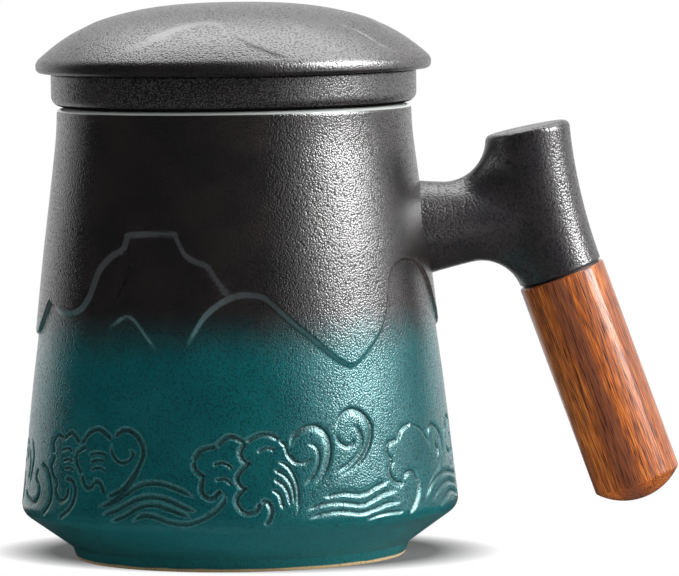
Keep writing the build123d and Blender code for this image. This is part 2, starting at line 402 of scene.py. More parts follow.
@dataclass(frozen=True)
class CupGlaze:
    """The cup's glazes: charcoal that runs into teal, a pale inside and a bare clay foot ring.

    A glaze breaks to a lighter colour on the calm ledges and the rims of the lines, with a painted
    highlight there as well, and pools darker in their grooves, with painted shade there as well; above
    the foot the teal is painted lighter for the light that the pale floor throws up. Attributes that are
    pairs of heights are in millimetres: a change begins at the first and is full at the second.

    Attributes:
        run: heights of the run from charcoal to teal.
        run_drift: height over which its clouds move that run, in millimetres.
        run_stretch: scale of each axis for those clouds; less than 1 draws them out.
        break_and_highlight_run: heights over which the lighter colour of the glaze break and painted
            highlight turns teal.
        break_and_highlight_share: how much of that lighter colour a calm ledge in the charcoal shows.
        break_and_highlight_drift: how much more of it shows in the clouds.
        teal_break_and_highlight_share: how much of it a calm ledge in the teal shows.
        rim_break_and_highlight_share: how much of it the edge of a line in the teal shows.
        rim_break_and_highlight_rise: values of the groove between which the lighter edge of a line
            begins.
        rim_break_and_highlight_fall: values of the groove between which that lighter edge ends.
        pooled_and_shaded_share: how much a groove shows of the darker colour of pooled glaze and painted
            shade.
        foot_light_run: heights over which the teal turns lighter above the foot, painted light from the
            pale floor.
        foot_light_share: how much of that painted lighter colour shows there.
        smooth_run: heights over which the skin smooths out above the foot.
        smooth_share: how much of it goes there.
        clay_run: heights over which the glaze ends in bare clay.
        clay_drift: height over which the clouds move that line, in millimetres.
        speck_relief: how high the clay's specks stand, as a share of the skin's depth.
    """

    name: str = "cup_glaze"
    skin: LeatherySkin = LeatherySkin()
    index: float = GLAZE_INDEX
    teal: Colour = paint(1, 85, 90)
    teal_light: Colour = paint(3, 94, 98)
    teal_edges: Pair = (0.3, 0.75)
    teal_gloss: Colour = (0.68, 1.0, 1.0)
    # painted light from the pale floor on the teal above the foot
    foot_light_teal: Colour = paint(48, 136, 138)
    # lighter colours where the glaze breaks thin, with a painted highlight in them too
    break_and_highlight_charcoal: Colour = paint(84, 90, 94)
    break_and_highlight_teal: Colour = paint(90, 150, 152)
    # darker colours in the grooves: pooled glaze, with painted shade in them too
    pooled_and_shaded_charcoal: Colour = paint(15, 13, 14)
    pooled_and_shaded_teal: Colour = paint(2, 38, 42)
    pale: Colour = paint(226, 232, 228)
    clay: Colour = paint(232, 202, 150)
    clay_speck: Colour = paint(158, 126, 88)
    speck_grain: float = 0.5
    speck_edges: Pair = (0.55, 0.75)
    speck_relief: float = 0.3
    run: Pair = (61.0, 46.5)
    run_grain: float = 16.0
    run_drift: float = 9.0
    run_stretch: tuple[float, float, float] = (1.0, 1.0, 0.45)
    break_and_highlight_run: Pair = (66.0, 50.0)
    break_and_highlight_share: float = 0.25
    break_and_highlight_drift: float = 0.42
    teal_break_and_highlight_share: float = 0.42
    rim_break_and_highlight_share: float = 0.4
    rim_break_and_highlight_rise: Pair = (0.005, 0.06)
    rim_break_and_highlight_fall: Pair = (0.5, 0.2)
    pooled_and_shaded_share: float = 0.6
    foot_light_run: Pair = (15.0, 3.0)
    foot_light_share: float = 0.6
    smooth_run: Pair = (14.2, 12.4)
    smooth_share: float = 0.6
    clay_run: Pair = (0.9, 0.65)
    clay_drift: float = 0.6
    roughness: float = 0.21
    roughness_drift: float = 0.1
    calm_roughness: float = 0.12
    groove_roughness: float = 0.28
    pale_gloss: float = 0.15
    clay_roughness: float = 0.5

    def made(self) -> bpy.types.Material:
        """Builds the material.

        Returns:
            The material.
        """
        graph = Graph.material(self.name)
        place = graph.place()
        height = graph.axis(place, "Z")
        cloud = clouds(graph, place)
        groove, calm, pale = (graph.held(name) for name in ("groove", "calm", "pale"))
        clay = (height + cloud.swing(self.clay_drift * MM)).ramp_mm(self.clay_run)
        speck = graph.noise(place, self.speck_grain).ramp(*self.speck_edges)
        dark = self.charcoal_colour(graph, height, cloud, groove, calm)
        dark = graph.blend(pale, dark, self.pale)
        dark = graph.blend(clay, dark, graph.blend(speck, self.clay, self.clay_speck))
        smooth = height.ramp_mm(self.smooth_run) * self.smooth_share
        skin = self.skin.height(graph, place) * (1 - (calm * CALMED + smooth + pale + clay).clamped())
        normal = graph.bump(skin + clay * speck * self.speck_relief, self.skin.depth)
        rough = self.roughness + cloud.swing(self.roughness_drift)
        rough = rough + calm * self.calm_roughness + groove * self.groove_roughness
        upper = graph.shader(
            Base_Color=dark,
            Roughness=rough - pale * self.pale_gloss + clay * self.clay_roughness,
            IOR=self.index,
            Normal=normal,
        )
        lower = graph.shader(
            Base_Color=self.teal_colour(graph, height, cloud, groove, calm),
            Roughness=rough,
            IOR=self.index,
            Specular_Tint=self.teal_gloss,
            Normal=normal,
        )
        drift = clouds(graph, graph.scaled(place, self.run_stretch), self.run_grain)
        run = (height + drift.swing(self.run_drift * MM)).ramp_mm(self.run)
        glaze = graph.layered(run * (1 - pale) * (1 - clay), upper, lower)
        return graph.ended(self.skin.dimpled(graph, glaze, skin))

    def charcoal_colour(
        self, graph: Graph, height: Term, cloud: Term, groove: Term, calm: Term
    ) -> Term:
        """The colour of the charcoal glaze.

        Args:
            graph: the material's graph.
            height: height on the cup, in metres.
            cloud: the slow change over the glaze.
            groove: 1 in the bottom of a line.
            calm: 1 on a ledge of the relief.

        Returns:
            The colour.
        """
        plain = tinted(graph, cloud, CHARCOAL, CHARCOAL_WARM)
        # calm ledges take the lighter colour: thinner glaze and a painted highlight
        break_and_highlight = graph.blend(height.ramp_mm(self.break_and_highlight_run), self.break_and_highlight_charcoal, self.break_and_highlight_teal)
        dark = graph.blend(calm * (self.break_and_highlight_share + cloud * self.break_and_highlight_drift), plain, break_and_highlight)
        # grooves darken: pooled glaze and painted shade
        return graph.blend(groove * self.pooled_and_shaded_share, dark, self.pooled_and_shaded_charcoal)

    def teal_colour(self, graph: Graph, height: Term, cloud: Term, groove: Term, calm: Term) -> Term:
        """The colour of the teal glaze.

        Args:
            graph: the material's graph.
            height: height on the cup, in metres.
            cloud: the slow change over the glaze.
            groove: 1 in the bottom of a line.
            calm: 1 on a ledge of the relief.

        Returns:
            The colour.
        """
        plain = graph.blend(cloud.ramp(*self.teal_edges), self.teal, self.teal_light)
        # painted light from the pale floor: the teal turns lighter toward the foot
        foot_light = height.ramp_mm(self.foot_light_run) * self.foot_light_share
        # the edges of each line take it too: thinner glaze and a painted highlight
        rim_break_and_highlight = groove.ramp(*self.rim_break_and_highlight_rise) * groove.ramp(*self.rim_break_and_highlight_fall)
        break_and_highlight = (calm * self.teal_break_and_highlight_share + rim_break_and_highlight * self.rim_break_and_highlight_share).clamped()
        deep = graph.blend(break_and_highlight, graph.blend(foot_light, plain, self.foot_light_teal), self.break_and_highlight_teal)
        # grooves darken: pooled glaze and painted shade
        return graph.blend(groove * self.pooled_and_shaded_share, deep, self.pooled_and_shaded_teal)


@dataclass(frozen=True)
class BasketGlaze:
    """The infuser's glazes: charcoal on the collar that shows, pale on the basket, painted shade low on
    the collar.

    Attributes:
        collar_heights: heights in millimetres between which the charcoal begins.
        collar_radii: distances from the mug's axis between which it begins.
        seam_shade_heights: heights between which the painted shadow on the collar, just over the cup's
            lip, ends.
        peak_heights: heights of the skin between which its pebbles turn lighter, for thinner glaze there
            and a painted highlight.
        peak_share: how much of the lighter colour they show.
    """

    name: str = "basket_glaze"
    skin: LeatherySkin = LeatherySkin()
    index: float = GLAZE_INDEX
    collar_heights: Pair = (104.3, 104.9)
    collar_radii: Pair = (39.1, 39.5)
    seam_shade_heights: Pair = (105.8, 105.3)
    peak_heights: Pair = (0.0, 0.2)
    peak_share: float = 0.5
    pale: Colour = paint(204, 211, 206)
    charcoal: Colour = paint(38, 36, 38)
    charcoal_warm: Colour = paint(44, 41, 43)
    charcoal_peak_thin_glaze_and_highlight: Colour = paint(84, 81, 84)
    roughness: float = 0.2
    roughness_drift: float = 0.08
    charcoal_roughness: float = 0.06

    def made(self) -> bpy.types.Material:
        """Builds the material.

        Returns:
            The material.
        """
        graph = Graph.material(self.name)
        place = graph.place()
        height = graph.axis(place, "Z")
        level = graph.scaled(place, (1.0, 1.0, 0.0))
        away = graph.node("ShaderNodeVectorMath", {"operation": "LENGTH"}, {0: level}, "Value")
        dark = height.ramp_mm(self.collar_heights) * away.ramp_mm(self.collar_radii)
        cloud = clouds(graph, place)
        skin = self.skin.height(graph, place) * dark
        # the pebbles' tops turn lighter: thinner glaze there, and a painted highlight
        peak_thin_glaze_and_highlight = skin.ramp(*self.peak_heights) * self.peak_share
        charcoal = tinted(graph, cloud, self.charcoal, self.charcoal_warm)
        charcoal = graph.blend(peak_thin_glaze_and_highlight, charcoal, self.charcoal_peak_thin_glaze_and_highlight)
        rough = self.roughness + cloud.swing(self.roughness_drift)
        glaze = graph.shader(
            Base_Color=graph.blend(dark, self.pale, charcoal),
            Roughness=rough + dark * self.charcoal_roughness,
            IOR=self.index,
            Normal=graph.bump(skin, self.skin.depth),
        )
        # painted shadow: the lowest band of the collar, just over the cup's lip, takes the dark shade
        seam_shade = dark * height.ramp_mm(self.seam_shade_heights)
        return graph.ended(self.skin.dimpled(graph, glaze, skin, seam_shade))


@dataclass(frozen=True)
class WoodNoise:
    """Noise that is drawn out along the wood.

    Attributes:
        squeeze: scale along the wood; less than 1 draws the noise out.
        grain: size of its lumps across the wood in millimetres.
        detail: how many finer layers it has.
        twist: how much its lumps are pulled about.
    """

    squeeze: float
    grain: float
    detail: float = 2.0
    twist: float = 0.0

    def at(self, graph: Graph, place: Term) -> Term:
        """The noise at a place, for wood that stands along Z, about 0.5 on average."""
        drawn = graph.scaled(place, (1.0, 1.0, self.squeeze))
        return graph.noise(drawn, self.grain, self.detail, self.twist)


@dataclass(frozen=True)
class Rosewood:
    """Oiled rosewood with its grain along a leaning axis.

    Attributes:
        lean: degrees by which the grip's axis leans from upright.
        middle: distance of that axis from the middle of the mug's foot, in millimetres.
        figure: the broad streaks.
        fibre: the fine fibres.
        sway: the slow bends of the bands of heartwood.
        stops: colours of the wood, from its dark streaks to its light ones.
        stop_shares: how much the figure and the fibres count in the place on those stops.
        stop_offset: what is taken off that place.
        heart_and_edge_shade: colour of the dark bands of heartwood, and of the painted shade along the
            wood's edge.
        heart_rise: places across the wood between which the wide band begins, in millimetres.
        heart_fall: places between which it ends.
        edge_shade_rise: places between which the painted shade, fainter than the heartwood, begins at the
            wood's edge.
        edge_shade_share: how strong that painted shade is.
        heart_share: how much of their colour the bands show.
        heart_figure: how much that changes with the figure.
        sway_width: width over which the bands bend, in millimetres.
        fray_width: width over which the fibres fray their edges, in millimetres.
        pore_edges: values of the fibre between which a pore begins.
        oil: strength of the oil's gloss.
        pore_oil: how much of it is missing in a pore.
        fibre_relief: how high the fibres stand, as a share of the depth.
        pore_relief: how low the pores lie, as a share of the depth.
    """

    name: str = "oiled_rosewood"
    lean: float = 19.6
    middle: float = 92.8
    figure: WoodNoise = WoodNoise(squeeze=0.045, grain=2.4, detail=3.0, twist=0.5)
    fibre: WoodNoise = WoodNoise(squeeze=0.05, grain=0.27)
    sway: WoodNoise = WoodNoise(squeeze=0.2, grain=7.0)
    stops: tuple[tuple[float, Colour], ...] = (
        (0.32, paint(72, 32, 8)),
        (0.44, paint(138, 66, 12)),
        (0.55, paint(182, 92, 22)),
        (0.68, paint(226, 130, 48)),
    )
    stop_shares: Pair = (0.45, 0.85)
    stop_offset: float = 0.15
    heart_and_edge_shade: Colour = paint(116, 62, 42)
    heart_rise: Pair = (-5.2, -3.6)
    heart_fall: Pair = (0.2, -1.4)
    edge_shade_rise: Pair = (7.6, 8.6)
    edge_shade_share: float = 0.5
    heart_share: float = 0.62
    heart_figure: float = 1.2
    sway_width: float = 7.0
    fray_width: float = 1.6
    pore: Colour = paint(58, 20, 6)
    pore_edges: Pair = (0.43, 0.3)
    pore_share: float = 0.7
    roughness: float = 0.6
    pore_roughness: float = 0.25
    index: float = 1.34
    oil: float = 0.7
    pore_oil: float = 0.3
    oil_roughness: float = 0.18
    depth: float = 0.05
    fibre_relief: float = 0.6
    pore_relief: float = 0.5

    def made(self) -> bpy.types.Material:
        """Builds the material.

        Returns:
            The material.
        """
        graph = Graph.material(self.name)
        upright = {
            "Vector": graph.place(),
            "Location": (-self.middle * MM, 0.0, 0.0),
            "Rotation": (0.0, math.radians(self.lean), 0.0),
        }
        place = graph.node("ShaderNodeMapping", {}, upright)
        kinds = (self.figure, self.fibre, self.sway)
        figure, fibre, sway = (kind.at(graph, place) for kind in kinds)
        across = graph.axis(place, "X") / MM
        across = across + sway.swing(self.sway_width) + fibre.swing(self.fray_width)
        tone = figure * self.stop_shares[0] + fibre * self.stop_shares[1] - self.stop_offset
        colour = graph.node("ShaderNodeValToRGB", {"stops": self.stops}, {0: tone})
        heart_and_edge_shade = across.ramp(*self.heart_rise) * across.ramp(*self.heart_fall)
        # painted shade along the grip's outer edge, in the heartwood's colour
        heart_and_edge_shade = heart_and_edge_shade + across.ramp(*self.edge_shade_rise) * self.edge_shade_share
        heart_and_edge_shade = heart_and_edge_shade * (self.heart_share + figure.swing(self.heart_figure))
        colour = graph.blend(heart_and_edge_shade.clamped(), colour, self.heart_and_edge_shade)
        pore = fibre.ramp(*self.pore_edges)
        wood = graph.shader(
            Base_Color=graph.blend(pore * self.pore_share, colour, self.pore),
            Roughness=self.roughness + pore * self.pore_roughness,
            IOR=self.index,
            Coat_Weight=self.oil - pore * self.pore_oil,
            Coat_Roughness=self.oil_roughness,
            Normal=graph.bump(fibre * self.fibre_relief - pore * self.pore_relief, self.depth),
        )
        return graph.ended(wood)


@dataclass(frozen=True)
class PlainFinish:
    """A finish of one colour with a fine grain and small changes of gloss.

    Attributes:
        cloud_size: size of its clouds, in grains.
        depth: how deep the grain is in millimetres.
    """

    name: str
    colour: Colour
    dark: Colour
    roughness: float
    metallic: float = 0.0
    grain: float = 0.4
    cloud_size: float = 6.0
    roughness_drift: float = 0.15
    depth: float = 0.02

    def made(self) -> bpy.types.Material:
        """Builds the material.

        Returns:
            The material.
        """
        graph = Graph.material(self.name)
        place = graph.place()
        cloud = clouds(graph, place, self.grain * self.cloud_size)
        fine = graph.noise(place, self.grain)
        plain = graph.shader(
            Base_Color=tinted(graph, cloud, self.colour, self.dark),
            Roughness=self.roughness + fine.swing(self.roughness_drift),
            Metallic=self.metallic,
            Normal=graph.bump(fine, self.depth),
        )
        return graph.ended(plain)


class SmallFinish(Enum):
    """The finishes of the small parts of the side grip."""

    RUBBER = PlainFinish("black_rubber", paint(20, 20, 21), paint(32, 31, 31), 0.62)
    STEEL = PlainFinish("stud_steel", paint(176, 176, 174), paint(140, 140, 138), 0.32, metallic=1.0)
    EPOXY = PlainFinish("amber_epoxy", paint(176, 150, 96), paint(150, 122, 70), 0.3)
    BRASS = PlainFinish("insert_brass", paint(196, 160, 88), paint(164, 128, 62), 0.3, metallic=1.0)


# ---------------------------------------------------------------- relief


def flowing(points: Sequence[Pair], steps: int = 7) -> np.ndarray:
    """A smooth line through points.

    Args:
        points: the points that it passes.
        steps: pieces from one point to the next.

    Returns:
        The points of the line, one a row.
    """
    known = np.array(points, float)
    first, last = 2 * known[0] - known[1], 2 * known[-1] - known[-2]
    known = np.vstack([first, known, last])
    share = np.linspace(0, 1, steps, endpoint=False)[:, None]
    runs = []
    for before, start, end, after in zip(known, known[1:], known[2:], known[3:]):
        bend = 2 * before - 5 * start + 4 * end - after
        curl = 3 * start - before - 3 * end + after
        runs.append(start + 0.5 * share * (end - before + share * (bend + share * curl)))
    return np.vstack([*runs, known[-2]])


def soft(value: np.ndarray) -> np.ndarray:
    """Soft step of a value that goes from 0 to 1."""
    held = np.clip(value, 0, 1)
    return held * held * (3 - 2 * held)


def nearest(path: np.ndarray, along: np.ndarray, up: np.ndarray) -> tuple[np.ndarray, np.ndarray]:
    """How far places are from a line.

    Args:
        path: the line's points.
        along: first coordinate of the places.
        up: second coordinate of the places.

    Returns:
        The distance, which is positive on the left hand of the line's travel, and the share of the
        line's length at which it is nearest.
    """
    best = np.full(along.shape, np.inf)
    signed, share = np.zeros(along.shape), np.zeros(along.shape)
    lengths = np.hypot(*np.diff(path, axis=0).T)
    total, run = lengths.sum(), 0.0
    for start, end, length in zip(path, path[1:], lengths):
        step = end - start
        part = ((along - start[0]) * step[0] + (up - start[1]) * step[1]) / length**2
        part = np.clip(part, 0, 1)
        off_along = along - (start[0] + part * step[0])
        off_up = up - (start[1] + part * step[1])
        distance = np.hypot(off_along, off_up)
        closer = distance < best
        hand = np.sign(step[0] * off_up - step[1] * off_along)
        best = np.where(closer, distance, best)
        signed = np.where(closer, distance * hand, signed)
        share = np.where(closer, (run + part * length) / total, share)
        run += length
    return signed, share


def pairs(*numbers: float) -> Points:
    """Points from their coordinates in turn.

    Args:
        *numbers: the first and the second coordinate of each.

    Returns:
        The points.
    """
    return tuple(zip(numbers[::2], numbers[1::2], strict=True))


@dataclass(frozen=True)
class LineForm:
    """The cross-section of a line pressed into the clay, and how it runs out.

    Attributes:
        depth: its depth in millimetres.
        left: its width on the left hand of its travel.
        right: its width on the right hand.
        fade: shares of its length over which it runs out at its start and at its end.
        sharp: how sharp its bottom is; 1 is a plain V.
        end_width: share of its width that is left at its ends.
    """

    depth: float
    left: float
    right: float
    fade: Pair
    sharp: float = 1.5
    end_width: float = 0.4


class Line(Enum):
    """The kinds of line that the waves are drawn with."""

    RIM = LineForm(depth=0.5, left=1.3, right=0.75, fade=(0.08, 0.08))
    SWEEP = LineForm(depth=0.55, left=0.7, right=1.9, fade=(0.16, 0.3))
    STREAM = LineForm(depth=0.42, left=1.4, right=0.7, fade=(0.12, 0.15))
    CURL = LineForm(depth=0.46, left=0.85, right=0.75, fade=(0.15, 0.25))
    COMB = LineForm(depth=0.44, left=0.85, right=0.6, fade=(0.12, 0.12))

    def cut(self, signed: np.ndarray, share: np.ndarray) -> np.ndarray:
        """The depth of the line near its middle.

        Args:
            signed: distance from the line, positive on its left hand.
            share: share of its length.

        Returns:
            A height in millimetres that is 0 or less.
        """
        form = self.value
        ends = soft(share / form.fade[0]) * soft((1 - share) / form.fade[1])
        width = np.where(signed > 0, form.left, form.right)
        width = width * (form.end_width + (1 - form.end_width) * ends)
        return -form.depth * ends * np.clip(1 - np.abs(signed) / width, 0, 1) ** form.sharp


Stroke = tuple[Line, Points]


def stroke(kind: Line, *numbers: float) -> Stroke:
    """A line of the cup's drawing.

    Args:
        kind: its cross-section.
        *numbers: its points in turn, each a distance along and one up in millimetres.

    Returns:
        The kind and the points.
    """
    return kind, pairs(*numbers)


HILL_FOLD: Stroke = stroke(Line.COMB, -29.6, 71, -30.8, 66.5, -33, 62.5)

WAVES: tuple[Stroke, ...] = (
    stroke(Line.CURL, -66, 28.9, -63.2, 25.2, -63.6, 21.6, -65, 17.6),
    stroke(Line.CURL, -67.6, 26.6, -65.6, 22.8, -66.6, 18.6),
    stroke(Line.RIM, -67.8, 17, -65.9, 15.2, -60.2, 14.4, -57.3, 16.9, -58.2, 19.6),
    stroke(Line.RIM, -57.4, 23.9, -53.8, 22.1, -51.8, 18.8, -51.9, 15.4, -55.6, 11.9),
    stroke(Line.COMB, -59, 22.6, -60, 20.4, -58, 18.6),
    stroke(Line.RIM, -51.2, 26.4, -52, 28.6, -50.4, 30.7, -47.6, 30.1),
    stroke(Line.RIM, -47.7, 30.1, -44.8, 31.5, -41.8, 29.4),
    stroke(Line.RIM, -48.7, 19.9, -51.1, 21.6, -52.1, 23.8, -50.6, 26.3),
    stroke(Line.RIM, -45.1, 19.6, -45.3, 17.3, -47.6, 16.2, -49.6, 18.2, -48.7, 20.2),
    stroke(Line.RIM, -46.6, 21.4, -43.4, 20.5, -42.5, 17.8, -44.2, 14.5, -48.3, 11.9),
    stroke(Line.COMB, -48.9, 27.4, -45.9, 28, -44, 27.1),
    stroke(Line.COMB, -47.6, 25.1, -45.4, 25.6, -43.6, 25),
    stroke(Line.COMB, -46.8, 23.4, -44.9, 23.7, -43.1, 23.1),
    stroke(Line.RIM, -41.1, 29.1, -39, 31.8, -36.1, 32.8, -33.5, 31.7, -32.2, 30.4),
    stroke(Line.RIM, -40.4, 22.5, -42.5, 25.2, -42.3, 27.4, -39.2, 28.9),
    stroke(Line.RIM, -36.7, 21, -37.7, 19.8, -39.3, 20.3, -40.4, 22.6),
    stroke(Line.RIM, -36.8, 20.9, -35.1, 20.9, -33.6, 18.6),
    stroke(Line.COMB, -38.8, 27, -36.1, 27.6, -33.1, 27.3),
    stroke(Line.COMB, -38.3, 25.4, -35.9, 26, -33.5, 25.8),
    stroke(Line.COMB, -37.9, 23.6, -35.4, 24.3, -33, 23.5),
    stroke(
        Line.RIM, -31.9, 30.9, -28.9, 32.9, -25.9, 32.1, -24, 29.3, -24.2, 26.5, -26.2, 22.9,
        -29.2, 19.6, -33.2, 17.8,
    ),
    stroke(Line.CURL, -27.9, 29, -26.3, 28, -27.1, 26.4, -29.6, 25.8, -31.9, 27.9, -31.9, 30.9),
    stroke(Line.CURL, -24.6, 25.5, -25.4, 22.9, -28.7, 18.9, -34.2, 15.3),
    stroke(Line.STREAM, -35.6, 15.2, -30.5, 16.7, -25.3, 20.1, -21.6, 21.1, -17.7, 20.7, -10.8, 17.9),
    stroke(
        Line.STREAM, -34.6, 13.6, -30.4, 14.6, -25.2, 17.3, -21.5, 18.1, -17.6, 17.5, -13.6, 15.7,
        -10, 14.9,
    ),
    stroke(Line.STREAM, -31.9, 12.1, -28.1, 13.4, -24.1, 15.7, -20.8, 16.3, -17.3, 15.4, -11.6, 13.4),
    stroke(
        Line.STREAM, -26.5, 12, -23.7, 13.7, -20.7, 13.7, -17.5, 12.6, -13.7, 12, -9.8, 13.2,
        -6.4, 15.5, -4.8, 18.2, -6.4, 19.9,
    ),
    stroke(Line.RIM, -11.9, 26.2, -10.2, 28.7, -6.7, 29.6),
    stroke(Line.RIM, -6.9, 29.5, -3.9, 31.7, -0.4, 30.4),
    stroke(Line.RIM, -9.2, 22.9, -11.2, 24.4, -11.8, 26.4),
    stroke(Line.RIM, -5.7, 20.2, -6.6, 19.3, -8.1, 18.2, -9.9, 19.6, -9.6, 22.9),
    stroke(Line.COMB, -7.8, 25.4, -5.4, 26, -3, 24.5),
    stroke(Line.COMB, -7.2, 22, -5.1, 22.4, -3.4, 21),
    stroke(Line.RIM, -0.2, 30.4, 2.3, 31.8, 4.9, 32, 7.2, 30.9),
    stroke(Line.RIM, 1.1, 25.9, -0.5, 26.2, -1.4, 28.4, -0.1, 30.5),
    stroke(Line.RIM, 0.2, 20.4, -1.3, 20.6, -2.1, 23, 0.6, 26),
    stroke(Line.RIM, 2.6, 17.3, 1.5, 15.2, -0.9, 15.1, -2.4, 17.7, -0.4, 20.5),
    stroke(Line.RIM, 2.5, 17.1, 4.2, 16.9, 4.9, 15.1, 4.4, 13.2, 3.3, 11.9),
    stroke(Line.COMB, 2.2, 28.2, 4.2, 29.1, 6.3, 28.6),
    stroke(Line.CURL, 6.3, 26.4, 9.1, 24.7, 10.7, 21.2, 11, 17.4, 10.6, 13.8),
    stroke(Line.CURL, 5.4, 24.6, 8.3, 22.8, 9.8, 20, 10.1, 15.6),
    stroke(Line.CURL, 5.4, 22.4, 7.9, 20.7, 9, 18.1, 9.1, 15.6),
    stroke(Line.CURL, 5.1, 20, 6.9, 18.5, 7.7, 15),
    stroke(Line.CURL, 6.8, 31.1, 8.4, 29.7, 9.1, 27.5, 10.5, 25.8, 12.6, 25),
    stroke(
        Line.SWEEP, 9.4, 28.3, 10.3, 31.6, 12.6, 33.5, 15.6, 33.9, 18.2, 32.2, 19.2, 29, 18.5, 25.3,
        16.7, 22.2, 13.2, 19.6,
    ),
    stroke(Line.CURL, 14.9, 26.9, 12.9, 25.7, 10.5, 26.2, 9.4, 28.6),
    stroke(Line.CURL, 13.2, 29.8, 15.5, 29.2, 16.3, 26.7, 15.1, 23.2, 11.8, 19.9),
    stroke(
        Line.SWEEP, 20.6, 32, 21.6, 35.2, 24.3, 37, 27.3, 36.5, 30, 33.8, 30.1, 30.6, 28, 26.6,
        24.4, 23.7, 19.2, 21.2,
    ),
    stroke(Line.CURL, 25.9, 30.3, 23.7, 28.8, 21.6, 29.7, 20.6, 32.2),
    stroke(Line.CURL, 24.5, 33.1, 26.5, 32.4, 27.4, 29.5, 26.1, 27, 23, 24.6, 19.2, 22.6),
    stroke(Line.STREAM, 16.4, 17.5, 21.3, 18.2, 26.2, 17.8, 30, 19, 34.4, 20.4),
    stroke(Line.STREAM, 12.2, 14.7, 16.5, 16, 21.1, 16.1, 26, 15.4, 29.1, 16.3, 32.5, 17.5, 37, 17.7),
    stroke(Line.STREAM, 12.6, 12.8, 16.9, 14, 21, 14.2, 25.8, 13.5, 29.6, 14.2, 33.2, 15.1, 37.6, 15.1),
    stroke(Line.STREAM, 26.9, 11.7, 31.3, 12.8, 38.2, 12.9),
    stroke(Line.RIM, 38.2, 29.2, 39.6, 31.3, 42.9, 32.5),
    stroke(Line.RIM, 35.9, 24.6, 34.4, 26.3, 34.8, 28.4, 38, 29.4),
    stroke(Line.RIM, 38.5, 19.4, 36, 19.9, 34.5, 22.5, 35.9, 25),
    stroke(Line.RIM, 38.5, 20, 39.9, 21.4, 42, 21.5, 43.4, 19.2, 43, 16.1, 39.6, 12),
    stroke(Line.CURL, 42.6, 32.5, 46.9, 31.1, 49.6, 28.6, 51.7, 26),
    stroke(
        Line.RIM, 50.7, 28.4, 50.8, 30.5, 53.6, 31.2, 57.2, 29, 58, 25.2, 55, 22.3, 50.4, 19.6,
        46, 15.6,
    ),
    stroke(Line.CURL, 53.4, 27.4, 54.8, 25.4, 53.4, 23.1),
    stroke(Line.STREAM, 45.4, 14.6, 50.8, 18.5, 58.2, 19.9, 69.6, 18.2),
    stroke(Line.STREAM, 48.6, 13.9, 54.1, 16.8, 60, 17.6, 68.2, 16),
    stroke(Line.STREAM, 52.4, 12.4, 56.8, 14.5, 62, 15.2, 69, 13.6),
    stroke(
        Line.RIM, 61.4, 26.6, 62.2, 29.8, 64.8, 31.9, 68.2, 31.6, 70.6, 28.9, 70.5, 25.2, 67.6, 22,
        62.8, 20.8,
    ),
    stroke(Line.CURL, 65.6, 28.3, 67.6, 27.4, 67, 25, 64.4, 23.9, 61.8, 25.2, 61.4, 27),
    stroke(Line.RIM, 73.2, 24, 73, 26.8, 75.4, 28.8, 78.4, 27.4),
    stroke(Line.RIM, 78.1, 27.5, 80.6, 26.8, 81.2, 23.6),
    stroke(Line.RIM, 74.6, 19.2, 73, 21.2, 73.6, 24.2),
    stroke(Line.RIM, 76.8, 20.2, 79, 19.4, 79.2, 16.4, 75.6, 12.2),
    stroke(Line.COMB, 75.4, 25, 77.2, 25.5, 79, 24.8),
    stroke(Line.COMB, 75.6, 22.9, 77.4, 23.3, 79, 22.6),
)


@dataclass(frozen=True)
class Ridge:
    """A line of hills: the sky on the left hand of its travel stands proud, and the land is sunk.

    Attributes:
        points: places that the line passes, each a distance along and one up in millimetres.
        proud: how far the sky stands out.
        sunk: how far the land lies in.
        ledge: width of the ledge on which the one falls to the other.
        ledge_edge: width of the soft edge of the ledge.
        rounding: share of that fall that is rounded; the rest of it is straight.
        sky_top: height at which the sky has run out into the plain wall.
        sky_fall: how far below that it begins to.
        land_reach: how far from the line the land has risen to the plain wall again.
        fade: shares of the line's length over which it runs out at its start and at its end.
        ledge_shares: shares of the ledge's width along the line, each after its share of the length.
        sky_reach: how far the sky reaches from the line, each after its share of the length.
        steps: pieces from one point of the line to the next.
    """

    points: Points
    proud: float = 0.5
    sunk: float = 0.25
    ledge: float = 2.1
    ledge_edge: float = 0.5
    rounding: float = 0.4
    sky_top: float = 97.0
    sky_fall: float = 25.0
    land_reach: float = 15.0
    fade: Pair = (0.04, 0.04)
    ledge_shares: Points = ((0.0, 1.0), (1.0, 1.0))
    sky_reach: Points = ((0.0, 60.0), (1.0, 60.0))
    steps: int = 5

    def shaped(self, along: np.ndarray, up: np.ndarray) -> tuple[np.ndarray, np.ndarray, np.ndarray]:
        """The heights on both sides of the line and where its ledge is.

        Args:
            along: first coordinate of the places.
            up: second coordinate of the places.

        Returns:
            The sky's height, the land's height, which is 0 or less, and 1 on the ledge.
        """
        signed, share = nearest(flowing(self.points, self.steps), along, up)
        ledge = self.ledge * np.interp(share, *zip(*self.ledge_shares, strict=True))
        reach = np.interp(share, *zip(*self.sky_reach, strict=True))
        ends = soft(share / self.fade[0]) * soft((1 - share) / self.fade[1])
        inside = ledge / 2 - signed
        step = np.clip(inside / ledge, 0, 1)
        step = (1 - self.rounding) * step + self.rounding * soft(step)
        sky = np.clip((self.sky_top - up) / self.sky_fall, 0, 1) * (1 - soft(signed / reach))
        land = 1 - soft(inside / self.land_reach)
        on_ledge = soft(inside / self.ledge_edge) * soft((ledge - inside) / self.ledge_edge)
        return self.proud * sky * (1 - step) * ends, -self.sunk * land * step * ends, on_ledge * ends


